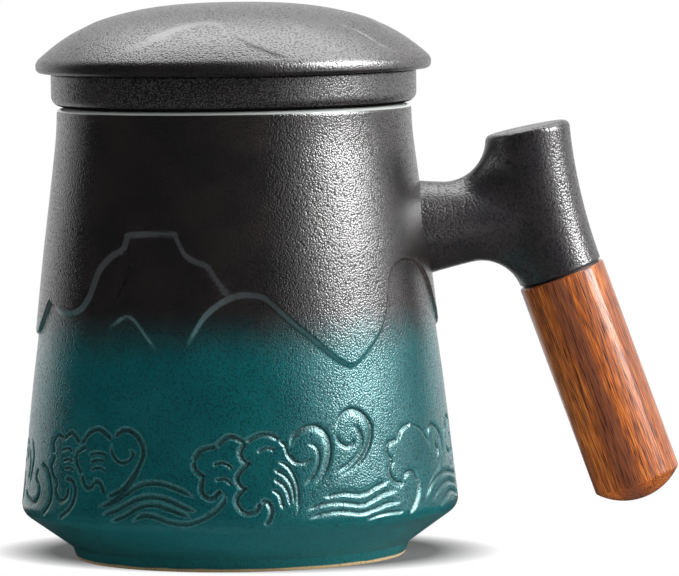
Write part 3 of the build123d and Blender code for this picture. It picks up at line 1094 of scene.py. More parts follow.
NEAR_RANGE: Points = pairs(
    -14.6, 50.6, -11.6, 55.6, -9.5, 58.7, -6.8, 61, -3.5, 62.8, -0.2, 63.5, 3.9, 63.1, 6.5, 61.5,
    10.5, 57.8, 15.3, 53.9, 20.6, 49.6, 23.6, 47.6, 26, 46.8, 28, 47.6, 31.7, 50.4, 36, 54.6,
    38.5, 59.4, 39.9, 64.4, 42.3, 68.2, 47.5, 69.6, 55, 68.4, 61.5, 64.4, 67, 58.6, 73, 54.2,
    80.4, 52.6, 86.5, 56.6, 90.6, 60.6, 94, 59.6, 97.6, 58.6, 101.8, 58.6, 106, 59.6, 109, 62.4,
    110.6, 65.6, 112.4, 69, 115.8, 71.9, 119.4, 73.7, 120.4, 76, 121.6, 76.9, 132.8, 77.3, 134.2, 76,
    136.4, 72.6, 139, 71.1, 141.8, 70, 144.4, 66.6, 146.6, 63.8, 149, 62.6,
)

HILLS: tuple[Ridge, ...] = (
    Ridge(
        NEAR_RANGE,
        fade=(0.03, 0.02),
        ledge_shares=pairs(0, 0.45, 0.05, 0.8, 0.09, 0.9, 0.16, 0.6, 0.32, 0.35, 0.6, 0.35, 0.7, 0.85),
        sky_reach=pairs(0, 7, 0.06, 7, 0.09, 60),
    ),
    Ridge(
        pairs(-35.2, 55, -31.5, 57.8, -29.2, 58.5, -27, 57.5, -24, 54.2, -20.4, 50.2),
        proud=0.15,
        sunk=0.3,
        ledge=1.3,
        land_reach=9.0,
        fade=(0.25, 0.25),
        sky_reach=pairs(0, 4, 1, 4),
    ),
)

LID_HILLS: tuple[Ridge, ...] = tuple(
    Ridge(
        points,
        proud=0.1,
        sunk=0.04,
        ledge=0.8,
        ledge_shares=pairs(0, 1, 0.3, 4, 0.54, 4, 0.64, 1, 1, 1),
        sky_top=30.0,
        sky_fall=10.0,
        land_reach=9.0,
        fade=(0.3, 0.05),
        sky_reach=pairs(0, 9, 1, 9),
    )
    for points in (
        pairs(
            -32.5, 0.8, -29.4, 2.5, -26, 3.6, -22.6, 5, -19, 8.4, -14, 12.8, -8, 15.1, -4.6, 13.2,
            -2.7, 9.8, -0.2, 7.8, 1.9, 5.7, 3.8, 4.5, 5.7, 3.3, 7.9, 2.2, 10.4, 1.1,
        ),
        pairs(
            10, 6.4, 14.6, 10.6, 19, 13.6, 23, 14.6, 28.3, 13.2, 31.2, 11, 32.6, 8.3, 33.4, 5.7,
            34.4, 4.1, 35.9, 2.9, 38.4, 0.8,
        ),
        pairs(40, 2.2, 45, 6, 50, 11.5, 55, 13, 61, 12.2, 66, 9.2, 72, 7.6, 77, 4.6, 83, 1.6),
    )
)


@dataclass
class Relief:
    """A drawing that repeats twice round a wall, unrolled to millimetres along and up.

    Attributes:
        radius: distance from the axis at which the wall is unrolled.
        band: heights up the wall between which the relief stands.
        fades: widths over which it fades in at the lower one and out at the upper one.
        strokes: the lines that are pressed in.
        hills: the lines of hills.
        stroke_reach: how far from a stroke's points it is looked for.
        hills_reach: how far from the points of a line of hills it is looked for.
        full_groove: depth that counts as a whole groove for the glaze.
        groove_power: how steeply that count rises with the depth.
    """

    radius: float
    band: Pair
    fades: Pair
    strokes: Sequence[Stroke] = ()
    hills: Sequence[Ridge] = ()
    stroke_reach: float = 3.0
    hills_reach: float = 60.0
    full_groove: float = 0.4
    groove_power: float = 1.5

    def heights(self, columns: int, up: np.ndarray) -> dict[str, np.ndarray]:
        """Works the relief out on a lattice of the wall.

        Args:
            columns: how many columns it has round the wall.
            up: distance up the wall of each row.

        Returns:
            Arrays of a row for each up: "height" in millimetres, and "groove" and "calm" from 0
            to 1.
        """
        along = 2 * math.pi * np.arange(columns) / columns * self.radius
        period = math.pi * self.radius
        wrapped = (along + period / 2) % period - period / 2
        grid_along, grid_up = np.meshgrid(wrapped, up)
        sky, land, calm, cut = (np.zeros(grid_up.shape) for _ in range(4))
        for shift in (-period, 0.0, period):
            for ridge in self.hills:
                painted_shadow = close_by(ridge.points, shift, grid_along, grid_up, self.hills_reach)
                if painted_shadow.any():
                    proud, sunk, on_ledge = ridge.shaped(grid_along[painted_shadow] - shift, grid_up[painted_shadow])
                    sky[painted_shadow] = np.maximum(sky[painted_shadow], proud)
                    land[painted_shadow] = np.minimum(land[painted_shadow], sunk)
                    calm[painted_shadow] = np.maximum(calm[painted_shadow], on_ledge)
            for kind, points in self.strokes:
                painted_shadow = close_by(points, shift, grid_along, grid_up, self.stroke_reach)
                if painted_shadow.any():
                    place = nearest(flowing(points), grid_along[painted_shadow] - shift, grid_up[painted_shadow])
                    cut[painted_shadow] = np.minimum(cut[painted_shadow], kind.cut(*place))
        shown = soft((up - self.band[0]) / self.fades[0]) * soft((self.band[1] - up) / self.fades[1])
        return {
            "height": (sky + land + cut) * shown[:, None],
            "groove": np.clip(-cut / self.full_groove, 0, 1) ** self.groove_power,
            "calm": calm,
        }


def close_by(
    points: Points, shift: float, along: np.ndarray, up: np.ndarray, reach: float
) -> np.ndarray:
    """Which places are close enough to a line to be changed by it.

    Args:
        points: the line's points.
        shift: how far the line is moved round the wall.
        along: first coordinate of the places.
        up: second coordinate of the places.
        reach: how far past the line's points it counts.

    Returns:
        True at those places.
    """
    firsts, seconds = zip(*points, strict=True)
    beside = (along > min(firsts) + shift - reach) & (along < max(firsts) + shift + reach)
    return beside & (up > min(seconds) - reach) & (up < max(seconds) + reach)


# ---------------------------------------------------------------- turned meshes


@dataclass(frozen=True)
class Corner:
    """A corner of a turned outline, with the radius of the round on it."""

    radius: float
    height: float
    round: float = 0.0


def outline(corners: Sequence[Corner], arc_step: float = 9.0) -> np.ndarray:
    """The points of an outline with its corners rounded.

    Args:
        corners: its corners in order.
        arc_step: degrees from one point of a round to the next.

    Returns:
        Radius and height, one point a row.
    """
    places = np.array([(c.radius, c.height) for c in corners], float)
    made = [places[0]]
    for before, here, after, corner in zip(places, places[1:], places[2:], corners[1:]):
        if corner.round == 0:
            made.append(here)
            continue
        back = (before - here) / np.hypot(*(before - here))
        on = (after - here) / np.hypot(*(after - here))
        turn = math.pi - math.acos(float(np.clip(back @ on, -1, 1)))
        reach = corner.round * math.tan(turn / 2)
        middle = (back + on) / np.hypot(*(back + on))
        centre = here + middle * corner.round / math.cos(turn / 2)
        start, end = here + back * reach - centre, here + on * reach - centre
        count = max(2, math.ceil(math.degrees(turn) / arc_step))
        for step in range(count + 1):
            share = step / count
            weights = math.sin((1 - share) * turn), math.sin(share * turn)
            made.append(centre + (start * weights[0] + end * weights[1]) / math.sin(turn))
    made.append(places[-1])
    return np.array(made)


def spaced(line: np.ndarray, longest: float, ease: float = 0.35) -> np.ndarray:
    """Adds points to a line so that no stretch is long, with a short one at each end of a straight.

    Args:
        line: the points of the line.
        longest: the longest stretch that stays.
        ease: length of the short stretch.

    Returns:
        The points with those added.
    """
    made = [line[0]]
    for start, end in zip(line, line[1:]):
        length = float(np.hypot(*(end - start)))
        if length > 3 * ease:
            inner = max(1, math.ceil((length - 2 * ease) / longest))
            places = ease + (length - 2 * ease) * np.linspace(0, 1, inner + 1)
            made.extend(start + (end - start) * place / length for place in places)
        made.append(end)
    return np.array(made)


def run_lengths(line: np.ndarray) -> np.ndarray:
    """How far along a line each of its points lies."""
    return np.concatenate([[0], np.cumsum(np.hypot(*np.diff(line, axis=0).T))])


def even(line: np.ndarray, step: float, multiple: int) -> np.ndarray:
    """A line with its points at even distances.

    Args:
        line: the points of the line.
        step: the distance that is wanted.
        multiple: the number of stretches is a multiple of this.

    Returns:
        Radius, height and the two parts of the normal, one point a row. The normal points outward
        where the line runs up.
    """
    runs = run_lengths(line)
    count = multiple * max(1, round(runs[-1] / step / multiple))
    places = np.linspace(0, runs[-1], count + 1)
    points = np.column_stack([np.interp(places, runs, line[:, side]) for side in (0, 1)])
    way = np.gradient(points, axis=0)
    way /= np.hypot(*way.T)[:, None]
    return np.column_stack([points, way[:, 1], -way[:, 0]])


def passing(known: np.ndarray, ends: np.ndarray, count: int) -> np.ndarray:
    """A cubic spline through points with set directions at its ends.

    Args:
        known: the points.
        ends: the direction at the first and the last point.
        count: how many points are handed back.

    Returns:
        Points of the spline.
    """
    runs = run_lengths(known)
    size = len(known)
    matrix, wanted = np.zeros((size, size)), np.zeros((size, 2))
    matrix[0, 0] = matrix[-1, -1] = 1.0
    wanted[0], wanted[-1] = ends
    for i in range(1, size - 1):
        before, after = runs[i] - runs[i - 1], runs[i + 1] - runs[i]
        matrix[i, i - 1 : i + 2] = after, 2 * (before + after), before
        rise_before = (known[i] - known[i - 1]) / before
        rise_after = (known[i + 1] - known[i]) / after
        wanted[i] = 3 * (after * rise_before + before * rise_after)
    ways = np.linalg.solve(matrix, wanted)
    made = []
    for place in np.linspace(0, runs[-1], count):
        i = min(int(np.searchsorted(runs, place, side="right")) - 1, size - 2)
        width = runs[i + 1] - runs[i]
        t = (place - runs[i]) / width
        made.append(
            (2 * t**3 - 3 * t**2 + 1) * known[i]
            + (t**3 - 2 * t**2 + t) * width * ways[i]
            + (3 * t**2 - 2 * t**3) * known[i + 1]
            + (t**3 - t**2) * width * ways[i + 1]
        )
    return np.array(made)


def turned(radius: np.ndarray | float, angle: np.ndarray, level: np.ndarray) -> np.ndarray:
    """Points round the mug's axis, from the front at angle 0 toward the grip.

    Args:
        radius: distances from the axis.
        angle: angles in radians.
        level: heights.

    Returns:
        Their places, one a row.
    """
    return np.column_stack([radius * np.sin(angle), -radius * np.cos(angle), level])


ON_AXIS = 1e-6


class TurnedMesh:
    """A mesh turned on the mug's axis, made ring by ring in millimetres."""

    def __init__(self, *held: str) -> None:
        """Starts an empty mesh.

        Args:
            *held: names of the values that its points carry.
        """
        self.points: list[np.ndarray] = []
        self.held: dict[str, list[np.ndarray]] = {name: [] for name in held}
        self.faces: list[Sequence[int]] = []
        self.count = 0

    def add(self, points: np.ndarray, values: dict[str, np.ndarray | float]) -> np.ndarray:
        """Adds points.

        Args:
            points: their places.
            values: what they carry; a name that is left out is 0.

        Returns:
            Their numbers.
        """
        self.points.append(points)
        for name, rows in self.held.items():
            rows.append(np.broadcast_to(np.asarray(values.get(name, 0.0), float), len(points)))
        self.count += len(points)
        return np.arange(self.count - len(points), self.count)

    def ring(self, radius: float, height: float, columns: int, **values: float) -> np.ndarray:
        """Adds a ring of points, or the one point that a ring without radius is.

        Args:
            radius: of the ring.
            height: of the ring.
            columns: how many points it has.
            **values: what its points carry.

        Returns:
            Their numbers.
        """
        if radius < ON_AXIS:
            return self.add(np.array([[0.0, 0.0, height]]), values)
        angle = 2 * np.pi * np.arange(columns) / columns
        return self.add(turned(radius, angle, np.full(columns, height)), values)

    def bridge(self, low: np.ndarray, high: np.ndarray) -> None:
        """Closes the band between two rings, of which one may have a multiple of the other's points.

        Args:
            low: the ring that comes first on the outline.
            high: the next one.
        """
        fewer, more = (low, high) if len(low) <= len(high) else (high, low)
        if len(fewer) == 1:
            loop = [(fewer[0], more[i], more[(i + 1) % len(more)]) for i in range(len(more))]
            self.faces.extend(loop)
            return
        ratio = len(more) // len(fewer)
        for i in range(len(fewer)):
            side = [more[(i * ratio + k) % len(more)] for k in range(ratio, -1, -1)]
            self.faces.append((fewer[i], fewer[(i + 1) % len(fewer)], *side))

    def chain(self, rings: Iterable[np.ndarray]) -> np.ndarray:
        """Bridges rings one after the other.

        Args:
            rings: the rings in order.

        Returns:
            The last one.
        """
        previous = None
        for ring in rings:
            if previous is not None:
                self.bridge(previous, ring)
            previous = ring
        return previous

    def lattice(
        self, wall: np.ndarray, columns: int, split: int, relief: dict[str, np.ndarray], flat: float
    ) -> tuple[np.ndarray, np.ndarray]:
        """Adds a wall with relief, in large cells that are split where the relief needs it.

        Args:
            wall: radius, height and outward normal of each fine row.
            columns: number of fine columns.
            split: fine cells along the side of a large one.
            relief: the arrays that Relief.heights gives for those rows and columns.
            flat: a large cell whose relief is this close to a plane stays whole.

        Returns:
            The first and the last ring.
        """
        high = relief["height"]
        rows = len(wall)
        across, down = columns // split, (rows - 1) // split
        wide = np.hstack([high, high[:, :1]])
        corners = wide[::split, ::split]
        worst = np.zeros((down, across))
        for row in range(split + 1):
            for column in range(split + 1):
                v, u = row / split, column / split
                low = corners[:-1, :-1] * (1 - u) + corners[:-1, 1:] * u
                top = corners[1:, :-1] * (1 - u) + corners[1:, 1:] * u
                meant = low * (1 - v) + top * v
                there = wide[row:, column:][::split, ::split][:down, :across]
                worst = np.maximum(worst, np.abs(there - meant))
        fine = worst > flat
        fine[0], fine[-1] = False, False
        used = np.zeros((rows, columns), bool)
        used[::split, ::split] = True
        for j, i in zip(*np.nonzero(fine), strict=True):
            span = (np.arange(i * split, (i + 1) * split + 1) % columns)[None, :]
            used[np.arange(j * split, (j + 1) * split + 1)[:, None], span] = True
        row_of, column_of = np.nonzero(used)
        angle = 2 * np.pi * column_of / columns
        radius = wall[row_of, 0] + high[used] * wall[row_of, 2]
        level = wall[row_of, 1] + high[used] * wall[row_of, 3]
        values = {name: relief[name][used] for name in self.held if name in relief}
        numbers = np.full(used.shape, -1)
        numbers[used] = self.add(turned(radius, angle, level), values)
        for j in range(down):
            for i in range(across):
                if fine[j, i]:
                    self.small_cells(numbers, j * split, i * split, split)
                else:
                    self.large_cell(numbers, fine, j, i, split)
        return numbers[0, ::split], numbers[-1, ::split]

    def small_cells(self, numbers: np.ndarray, row: int, column: int, split: int) -> None:
        """Adds the fine cells of one large cell.

        Args:
            numbers: the points' numbers in the fine lattice.
            row: the first fine row.
            column: the first fine column.
            split: fine cells along a side.
        """
        columns = numbers.shape[1]
        for j in range(row, row + split):
            for i in range(column, column + split):
                right = (i + 1) % columns
                self.faces.append(
                    (numbers[j, i], numbers[j, right], numbers[j + 1, right], numbers[j + 1, i])
                )

    def large_cell(self, numbers: np.ndarray, fine: np.ndarray, j: int, i: int, split: int) -> None:
        """Adds a large cell, with the points that split neighbours have on its sides.

        Args:
            numbers: the points' numbers in the fine lattice.
            fine: which large cells are split.
            j: its row.
            i: its column.
            split: fine cells along a side.
        """
        columns = numbers.shape[1]
        low, left = j * split, i * split
        loop = [(low, left + k) for k in range(split)]
        loop += [(low + k, left + split) for k in range(split)]
        loop += [(low + split, left + split - k) for k in range(split)]
        loop += [(low + split - k, left) for k in range(split)]
        across = fine.shape[1]
        beside = (
            j > 0 and fine[j - 1, i],
            fine[j, (i + 1) % across],
            j + 1 < fine.shape[0] and fine[j + 1, i],
            fine[j, i - 1],
        )
        kept = [
            numbers[row, column % columns]
            for place, (row, column) in enumerate(loop)
            if place % split == 0 or beside[place // split]
        ]
        self.faces.append(kept)

    def made(self, name: str) -> bpy.types.Object:
        """Makes the Blender object.

        Args:
            name: its name.

        Returns:
            The object, smooth and facing out.
        """
        mesh = bpy.data.meshes.new(name)
        points = np.vstack(self.points) * MM
        mesh.from_pydata(points.tolist(), [], [[int(n) for n in face] for face in self.faces])
        for held, rows in self.held.items():
            made = mesh.attributes.new(held, "FLOAT", "POINT")
            made.data.foreach_set("value", np.clip(np.concatenate(rows), 0, 1).astype(np.float32))
        face_out(mesh)
        thing = bpy.data.objects.new(name, mesh)
        bpy.context.scene.collection.objects.link(thing)
        return thing


def face_out(mesh: bpy.types.Mesh) -> None:
    """Turns a closed mesh's faces outward and shades it smooth.

    Args:
        mesh: the mesh.
    """
    draft = bmesh.new()
    draft.from_mesh(mesh)
    bmesh.ops.recalc_face_normals(draft, faces=draft.faces)
    draft.to_mesh(mesh)
    draft.free()
    mesh.polygons.foreach_set("use_smooth", np.ones(len(mesh.polygons), bool))
    mesh.update()


# ---------------------------------------------------------------- pieces


@dataclass
class CupBody:
    """The cup: low shoulder, turned foot, leaning wall with hills and waves, and a pale lip.

    Attributes:
        lean: degrees by which the wall leans in.
        neck_rise: height of the arc in which the wall turns upright under the lip.
        lip_clear: gap between the last point of that arc and the lip's round.
        shoulder: height of the shoulder's corner, whose radius follows the leaning wall.
        wall_start: height at which the wall with the relief begins.
        unrolled_radius: radius at which the drawing is laid on the wall.
        relief_band: heights between which the relief stands.
        relief_fades: widths over which it fades at the lower and at the upper one.
        pale_above: height above which the outside is pale too.
        columns: fine columns round the wall.
        split: fine cells along the side of a large one.
        row: height of a fine row.
        flat: a large cell this close to a plane stays whole.
        inside_columns: columns under the foot and inside.
        fine_foot: how far in from the foot's edge its rings still have the large cells' columns.
        fine_lip: how far down from the lip the inside's rings still have them.
        arc_step: degrees from one point of a round to the next outside.
        bend_steps: points of the arc under the lip.
        stretch: longest stretch between two rings outside the relief.
    """

    height: float = 104.6
    lip_radius: float = 41.15
    lip_round: float = 1.4
    lip_clear: float = 0.2
    wall: float = 4.0
    lean: float = 6.3
    neck_rise: float = 8.6
    shoulder: float = 11.2
    shoulder_round: float = 3.5
    foot_radius: float = 38.2
    foot_flare: float = 1.0
    foot_side: float = 2.8
    foot_ring: float = 5.0
    foot_round: float = 0.5
    flare_round: float = 0.4
    recess: float = 2.6
    recess_round: float = 0.5
    floor: float = 5.0
    floor_round: float = 12.0
    wall_start: float = 9.0
    unrolled_radius: float = 48.0
    relief_band: Pair = (11.0, 96.0)
    relief_fades: Pair = (1.2, 3.0)
    pale_above: float = 103.85
    columns: int = 1260
    split: int = 3
    row: float = 0.25
    flat: float = 0.022
    inside_columns: int = 140
    fine_foot: float = 1.0
    fine_lip: float = 2.0
    arc_step: float = 6.0
    bend_steps: int = 8
    stretch: float = 4.0
    glaze: CupGlaze = CupGlaze()

    def slope(self) -> float:
        """Radius that the straight wall gains for each millimetre down."""
        return math.tan(math.radians(self.lean))

    def neck(self) -> Corner:
        """Where the straight wall turns upright."""
        radius = self.lip_radius + self.neck_rise * math.tan(math.radians(self.lean) / 2)
        return Corner(radius, self.height - self.neck_rise)

    def upright(self, inset: float, clear: float) -> list[Corner]:
        """The arc in which the wall turns upright.

        Args:
            inset: distance in from the outside.
            clear: how far below the lip it stops.

        Returns:
            Its points from the neck up.
        """
        neck = self.neck()
        bend = self.neck_rise / math.sin(math.radians(self.lean))
        made = []
        for share in np.linspace(0, 1, self.bend_steps):
            level = neck.height + (self.neck_rise - clear) * float(share)
            in_by = bend - math.sqrt(bend**2 - (self.height - level) ** 2)
            made.append(Corner(self.lip_radius - inset + in_by, level))
        return made

    def outside(self) -> np.ndarray:
        """The outline from the middle of the recess under the foot, out and up to the neck.

        Returns:
            Radius and height, one point a row.
        """
        shoulder_radius = self.neck().radius + (self.neck().height - self.shoulder) * self.slope()
        ring_in = self.foot_radius - self.foot_ring
        return outline(
            [
                Corner(0, self.recess),
                Corner(ring_in, self.recess, self.recess_round),
                Corner(ring_in, 0, self.foot_round),
                Corner(self.foot_radius, 0, self.foot_round),
                Corner(self.foot_radius + self.foot_flare, self.foot_side, self.flare_round),
                Corner(shoulder_radius, self.shoulder, self.shoulder_round),
                self.neck(),
            ],
            self.arc_step,
        )

    def inside(self) -> np.ndarray:
        """The outline from the neck over the lip and down to the middle of the floor.

        Returns:
            Radius and height, one point a row.
        """
        floor_level = self.recess + self.floor
        corner_radius = self.neck().radius - self.wall
        corner_radius += (self.neck().height - floor_level) * self.slope()
        clear = self.lip_round + self.lip_clear
        return outline(
            [
                *self.upright(0, clear),
                Corner(self.lip_radius, self.height, self.lip_round),
                Corner(self.lip_radius - self.wall, self.height, self.lip_round),
                *reversed(self.upright(self.wall, clear)),
                Corner(corner_radius, floor_level, self.floor_round),
                Corner(0, floor_level),
            ]
        )

    def built(self) -> bpy.types.Object:
        """Builds the cup's mesh.

        Returns:
            The cup.
        """
        mesh = TurnedMesh("groove", "calm", "pale")
        outer = self.outside()
        off_start = np.abs(outer[:, 1] - self.wall_start)
        off_start[outer[:, 0] < self.foot_radius] = np.inf
        start = int(np.argmin(off_start))
        large_columns = self.columns // self.split
        last = mesh.chain(self.foot_rings(mesh, spaced(outer[: start + 1], self.stretch)[:-1]))
        wall = even(outer[start:], self.row, self.split)
        relief = Relief(
            self.unrolled_radius, self.relief_band, self.relief_fades, (*WAVES, HILL_FOLD), HILLS
        ).heights(self.columns, wall[:, 1])
        first, top = mesh.lattice(wall, self.columns, self.split, relief, self.flat)
        mesh.bridge(last, first)
        inner = spaced(self.inside(), self.stretch)[1:]
        lip = int(np.argmax(inner[:, 1]))
        rings = [top]
        for number, (radius, level) in enumerate(inner):
            over = number > lip
            pale = 1.0 if over or level > self.pale_above else 0.0
            coarse = over and level < self.height - self.fine_lip
            columns = self.inside_columns if coarse else large_columns
            rings.append(mesh.ring(radius, level, columns, pale=pale, calm=pale))
        mesh.chain(rings)
        return mesh.made("cup_body")

    def foot_rings(self, mesh: TurnedMesh, line: np.ndarray) -> list[np.ndarray]:
        """Adds the rings of the foot and of the shoulder's underside.

        Args:
            mesh: the cup's mesh.
            line: radius and height of each ring.

        Returns:
            The rings in order.
        """
        rings = []
        for radius, level in line:
            coarse = radius < self.foot_radius - self.fine_foot
            columns = self.inside_columns if coarse else self.columns // self.split
            rings.append(mesh.ring(radius, level, columns))
        return rings

    def dressed(self) -> bpy.types.Object:
        """Builds the cup, glazes it and puts it on the mug.

        Returns:
            The cup.
        """
        cup = self.built()
        cup.data.materials.append(self.glaze.made())
        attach(cup, "mug")
        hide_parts("mug_body")
        return cup


@dataclass
class DomedLid:
    """The lid: a shallow dome with hills in relief, a rolled edge, a spigot and a hollow below.

    Attributes:
        base: height of its underside in the mug's frame.
        rise: height of the dome's middle over that underside.
        crown: a place on the dome, as distance from the axis and fall from its middle.
        knee: the next such place, where the dome turns down.
        flank_fall: degrees by which the dome falls where it meets its edge.
        hollow_drop: how far the hollow's ceiling falls from its middle to its corner.
        crown_radius: radius at which the wall with the relief begins.
        relief_radius: radius at which the drawing is laid on the dome.
        relief_edge: radius from which the drawing's heights are measured inward.
        relief_band: heights in the drawing between which the relief stands.
        relief_fades: widths over which it fades at the outer and at the inner one.
        columns: fine columns round the dome.
        split: fine cells along the side of a large one.
        row: width of a fine row.
        flat: a large cell this close to a plane stays whole.
        arc_step: degrees from one point of a round to the next outside.
        dome_steps: points of the dome's curve.
        ceiling_steps: points of the hollow's curve.
        crown_stretch: longest stretch between two rings of the crown.
        under_stretch: longest stretch between two rings below.
    """

    base: float = 112.7
    corner_radius: float = 46.25
    corner_height: float = 2.3
    edge_round: float = 2.2
    under_radius: float = 45.55
    under_round: float = 1.3
    rise: float = 15.8
    wall: float = 4.2
    crown: Pair = (26.7, 2.6)
    knee: Pair = (38.2, 7.3)
    flank_fall: float = 42.0
    spigot_radius: float = 36.1
    spigot_inside: float = 33.1
    spigot_depth: float = 4.4
    spigot_round: float = 0.8
    hollow_drop: float = 5.4
    hollow_round: float = 4.0
    crown_radius: float = 14.0
    relief_radius: float = 38.0
    relief_edge: float = 46.0
    relief_band: Pair = (0.2, 30.0)
    relief_fades: Pair = (1.6, 3.0)
    columns: int = 720
    split: int = 3
    row: float = 0.36
    flat: float = 0.02
    crown_columns: int = 48
    under_columns: int = 120
    arc_step: float = 7.0
    dome_steps: int = 36
    ceiling_steps: int = 10
    crown_stretch: float = 1.6
    under_stretch: float = 3.0
    glaze: CharcoalGlaze = CharcoalGlaze()

    def dome(self) -> list[Corner]:
        """The outside of the dome, drawn out to the corner of its edge.

        Returns:
            Its points from the middle out.
        """
        top = self.base + self.rise
        known = np.array(
            [
                (0.0, top),
                (self.crown[0], top - self.crown[1]),
                (self.knee[0], top - self.knee[1]),
                (self.corner_radius, self.base + self.corner_height),
            ]
        )
        fall = math.radians(self.flank_fall)
        ends = np.array([(1.0, 0.0), (math.cos(fall), -math.sin(fall))])
        return [Corner(*point) for point in passing(known, ends, self.dome_steps)]

    def built(self) -> bpy.types.Object:
        """Builds the lid's mesh.

        Returns:
            The lid.
        """
        mesh = TurnedMesh("calm")
        corner = Corner(self.corner_radius, self.base + self.corner_height, self.edge_round)
        under = Corner(self.under_radius, self.base)
        dome = self.dome()[:-2]  # its last two points leave room for the edge's round
        line = outline([*dome, corner, under], self.arc_step)[:-1]
        first = int(np.argmax(line[:, 0] > self.crown_radius))
        crown = spaced(line[: first + 1], self.crown_stretch)[:-1]
        last = mesh.chain(mesh.ring(radius, level, self.crown_columns) for radius, level in crown)
        wall = even(line[first:], self.row, self.split)
        wall[:, 2:] *= -1  # the line runs down here, so its normal points in
        relief = Relief(
            self.relief_radius, self.relief_band, self.relief_fades, hills=LID_HILLS
        ).heights(self.columns, self.relief_edge - wall[:, 0])
        top, edge = mesh.lattice(wall, self.columns, self.split, relief, self.flat)
        mesh.bridge(last, top)
        rings = [edge]
        for radius, level in spaced(self.under(), self.under_stretch)[1:]:
            rings.append(mesh.ring(radius, level, self.under_columns))
        mesh.chain(rings)
        return mesh.made("domed_lid")

    def under(self) -> np.ndarray:
        """The outline from the edge in over the spigot to the middle of the hollow.

        Returns:
            Radius and height, one point a row.
        """
        top = self.base + self.rise - self.wall
        low = self.base - self.spigot_depth
        corner = (self.spigot_inside, top - self.hollow_drop)
        bend = (corner[0] ** 2 + self.hollow_drop**2) / (2 * self.hollow_drop)
        ceiling = []
        for share in np.linspace(1, 0, self.ceiling_steps)[1:]:
            radius = corner[0] * float(share)
            ceiling.append(Corner(radius, top - bend + math.sqrt(bend**2 - radius**2)))
        edge = Corner(self.corner_radius, self.base + self.corner_height)
        return outline(
            [
                edge,
                Corner(self.under_radius, self.base, self.under_round),
                Corner(self.spigot_radius, self.base),
                Corner(self.spigot_radius, low, self.spigot_round),
                Corner(self.spigot_inside, low, self.spigot_round),
                Corner(*corner, self.hollow_round),
                *ceiling[2:],  # its first two points leave room for the round before it
            ]
        )[1:]

    def dressed(self) -> bpy.types.Object:
        """Builds the lid, glazes it and puts it on the lid's body.

        Returns:
            The lid.
        """
        lid = self.built()
        lid.data.materials.append(self.glaze.made())
        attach(lid, "lid")
        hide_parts("lid")
        return lid


def finish_node(name: str, material: bpy.types.Material) -> bpy.types.Object:
    """Gives a solid that shows as it is its material.

    Args:
        name: the solid's name.
        material: its finish.

    Returns:
        The solid's object.
    """
    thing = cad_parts[name]
    thing.data.materials.clear()
    thing.data.materials.append(material)
    return thing


@dataclass
class InfuserBasket:
    """The infuser, whose collar shows between the cup and the lid."""

    glaze: BasketGlaze = BasketGlaze()

    def dressed(self) -> bpy.types.Object:
        """Glazes the infuser and hands it back."""
        return finish_node("infuser", self.glaze.made())


@dataclass
class SideGrip:
    """The side handle: cast arm, rubber washer and turned grip, with the parts that hold them."""

    arm_glaze: CharcoalGlaze = CharcoalGlaze(
        name="arm_glaze",
        skin=LeatherySkin(grain=0.56),
        roughness=0.25,
        index=1.8,
        base=paint(46, 44, 47),
        warm=paint(54, 50, 50),
    )
    wood: Rosewood = Rosewood()

    def dressed(self) -> list[bpy.types.Object]:
        """Gives every part of the handle its finish.

        Returns:
            The parts.
        """
        return [
            finish_node("handle_arm", self.arm_glaze.made()),
            finish_node("grip", self.wood.made()),
            finish_node("grip_washer", SmallFinish.RUBBER.value.made()),
            finish_node("grip_stud", SmallFinish.STEEL.value.made()),
            finish_node("stud_cement", SmallFinish.EPOXY.value.made()),
            finish_node("grip_insert", SmallFinish.BRASS.value.made()),
        ]


# ---------------------------------------------------------------- studio


@dataclass(frozen=True)
class Softbox:
    """A soft lamp that faces the mug, once for its gloss and once for the plain light on it.

    Attributes:
        azimuth: degrees round from the front toward the grip.
        elevation: degrees above level.
        away: metres from the place that it faces.
        size: width and height in metres.
        watts: its power in the gloss.
        plain: share of that power in the plain light.
        aim: height of the place that it faces, in metres.
    """

    name: str
    azimuth: float
    elevation: float
    away: float
    size: Pair
    watts: float
    plain: float = 1.0
    aim: float = 0.06

    def hung(self) -> None:
        """Hangs the lamp."""
        turn, rise = math.radians(self.azimuth), math.radians(self.elevation)
        way = Vector(
            (math.sin(turn) * math.cos(rise), -math.cos(turn) * math.cos(rise), math.sin(rise))
        )
        for part, power in (("gloss", self.watts), ("plain", self.watts * self.plain)):
            light = bpy.data.lights.new(f"{self.name}_{part}", "AREA")
            light.shape = "RECTANGLE"
            light.size, light.size_y = self.size
            light.energy = power
            lamp = bpy.data.objects.new(light.name, light)
            lamp.location = Vector((0.0, 0.0, self.aim)) + way * self.away
            lamp.rotation_euler = way.to_track_quat("Z", "Y").to_euler()
            lamp.visible_camera = False
            lamp.visible_diffuse = part == "plain"
            lamp.visible_glossy = part == "gloss"
            bpy.context.scene.collection.objects.link(lamp)


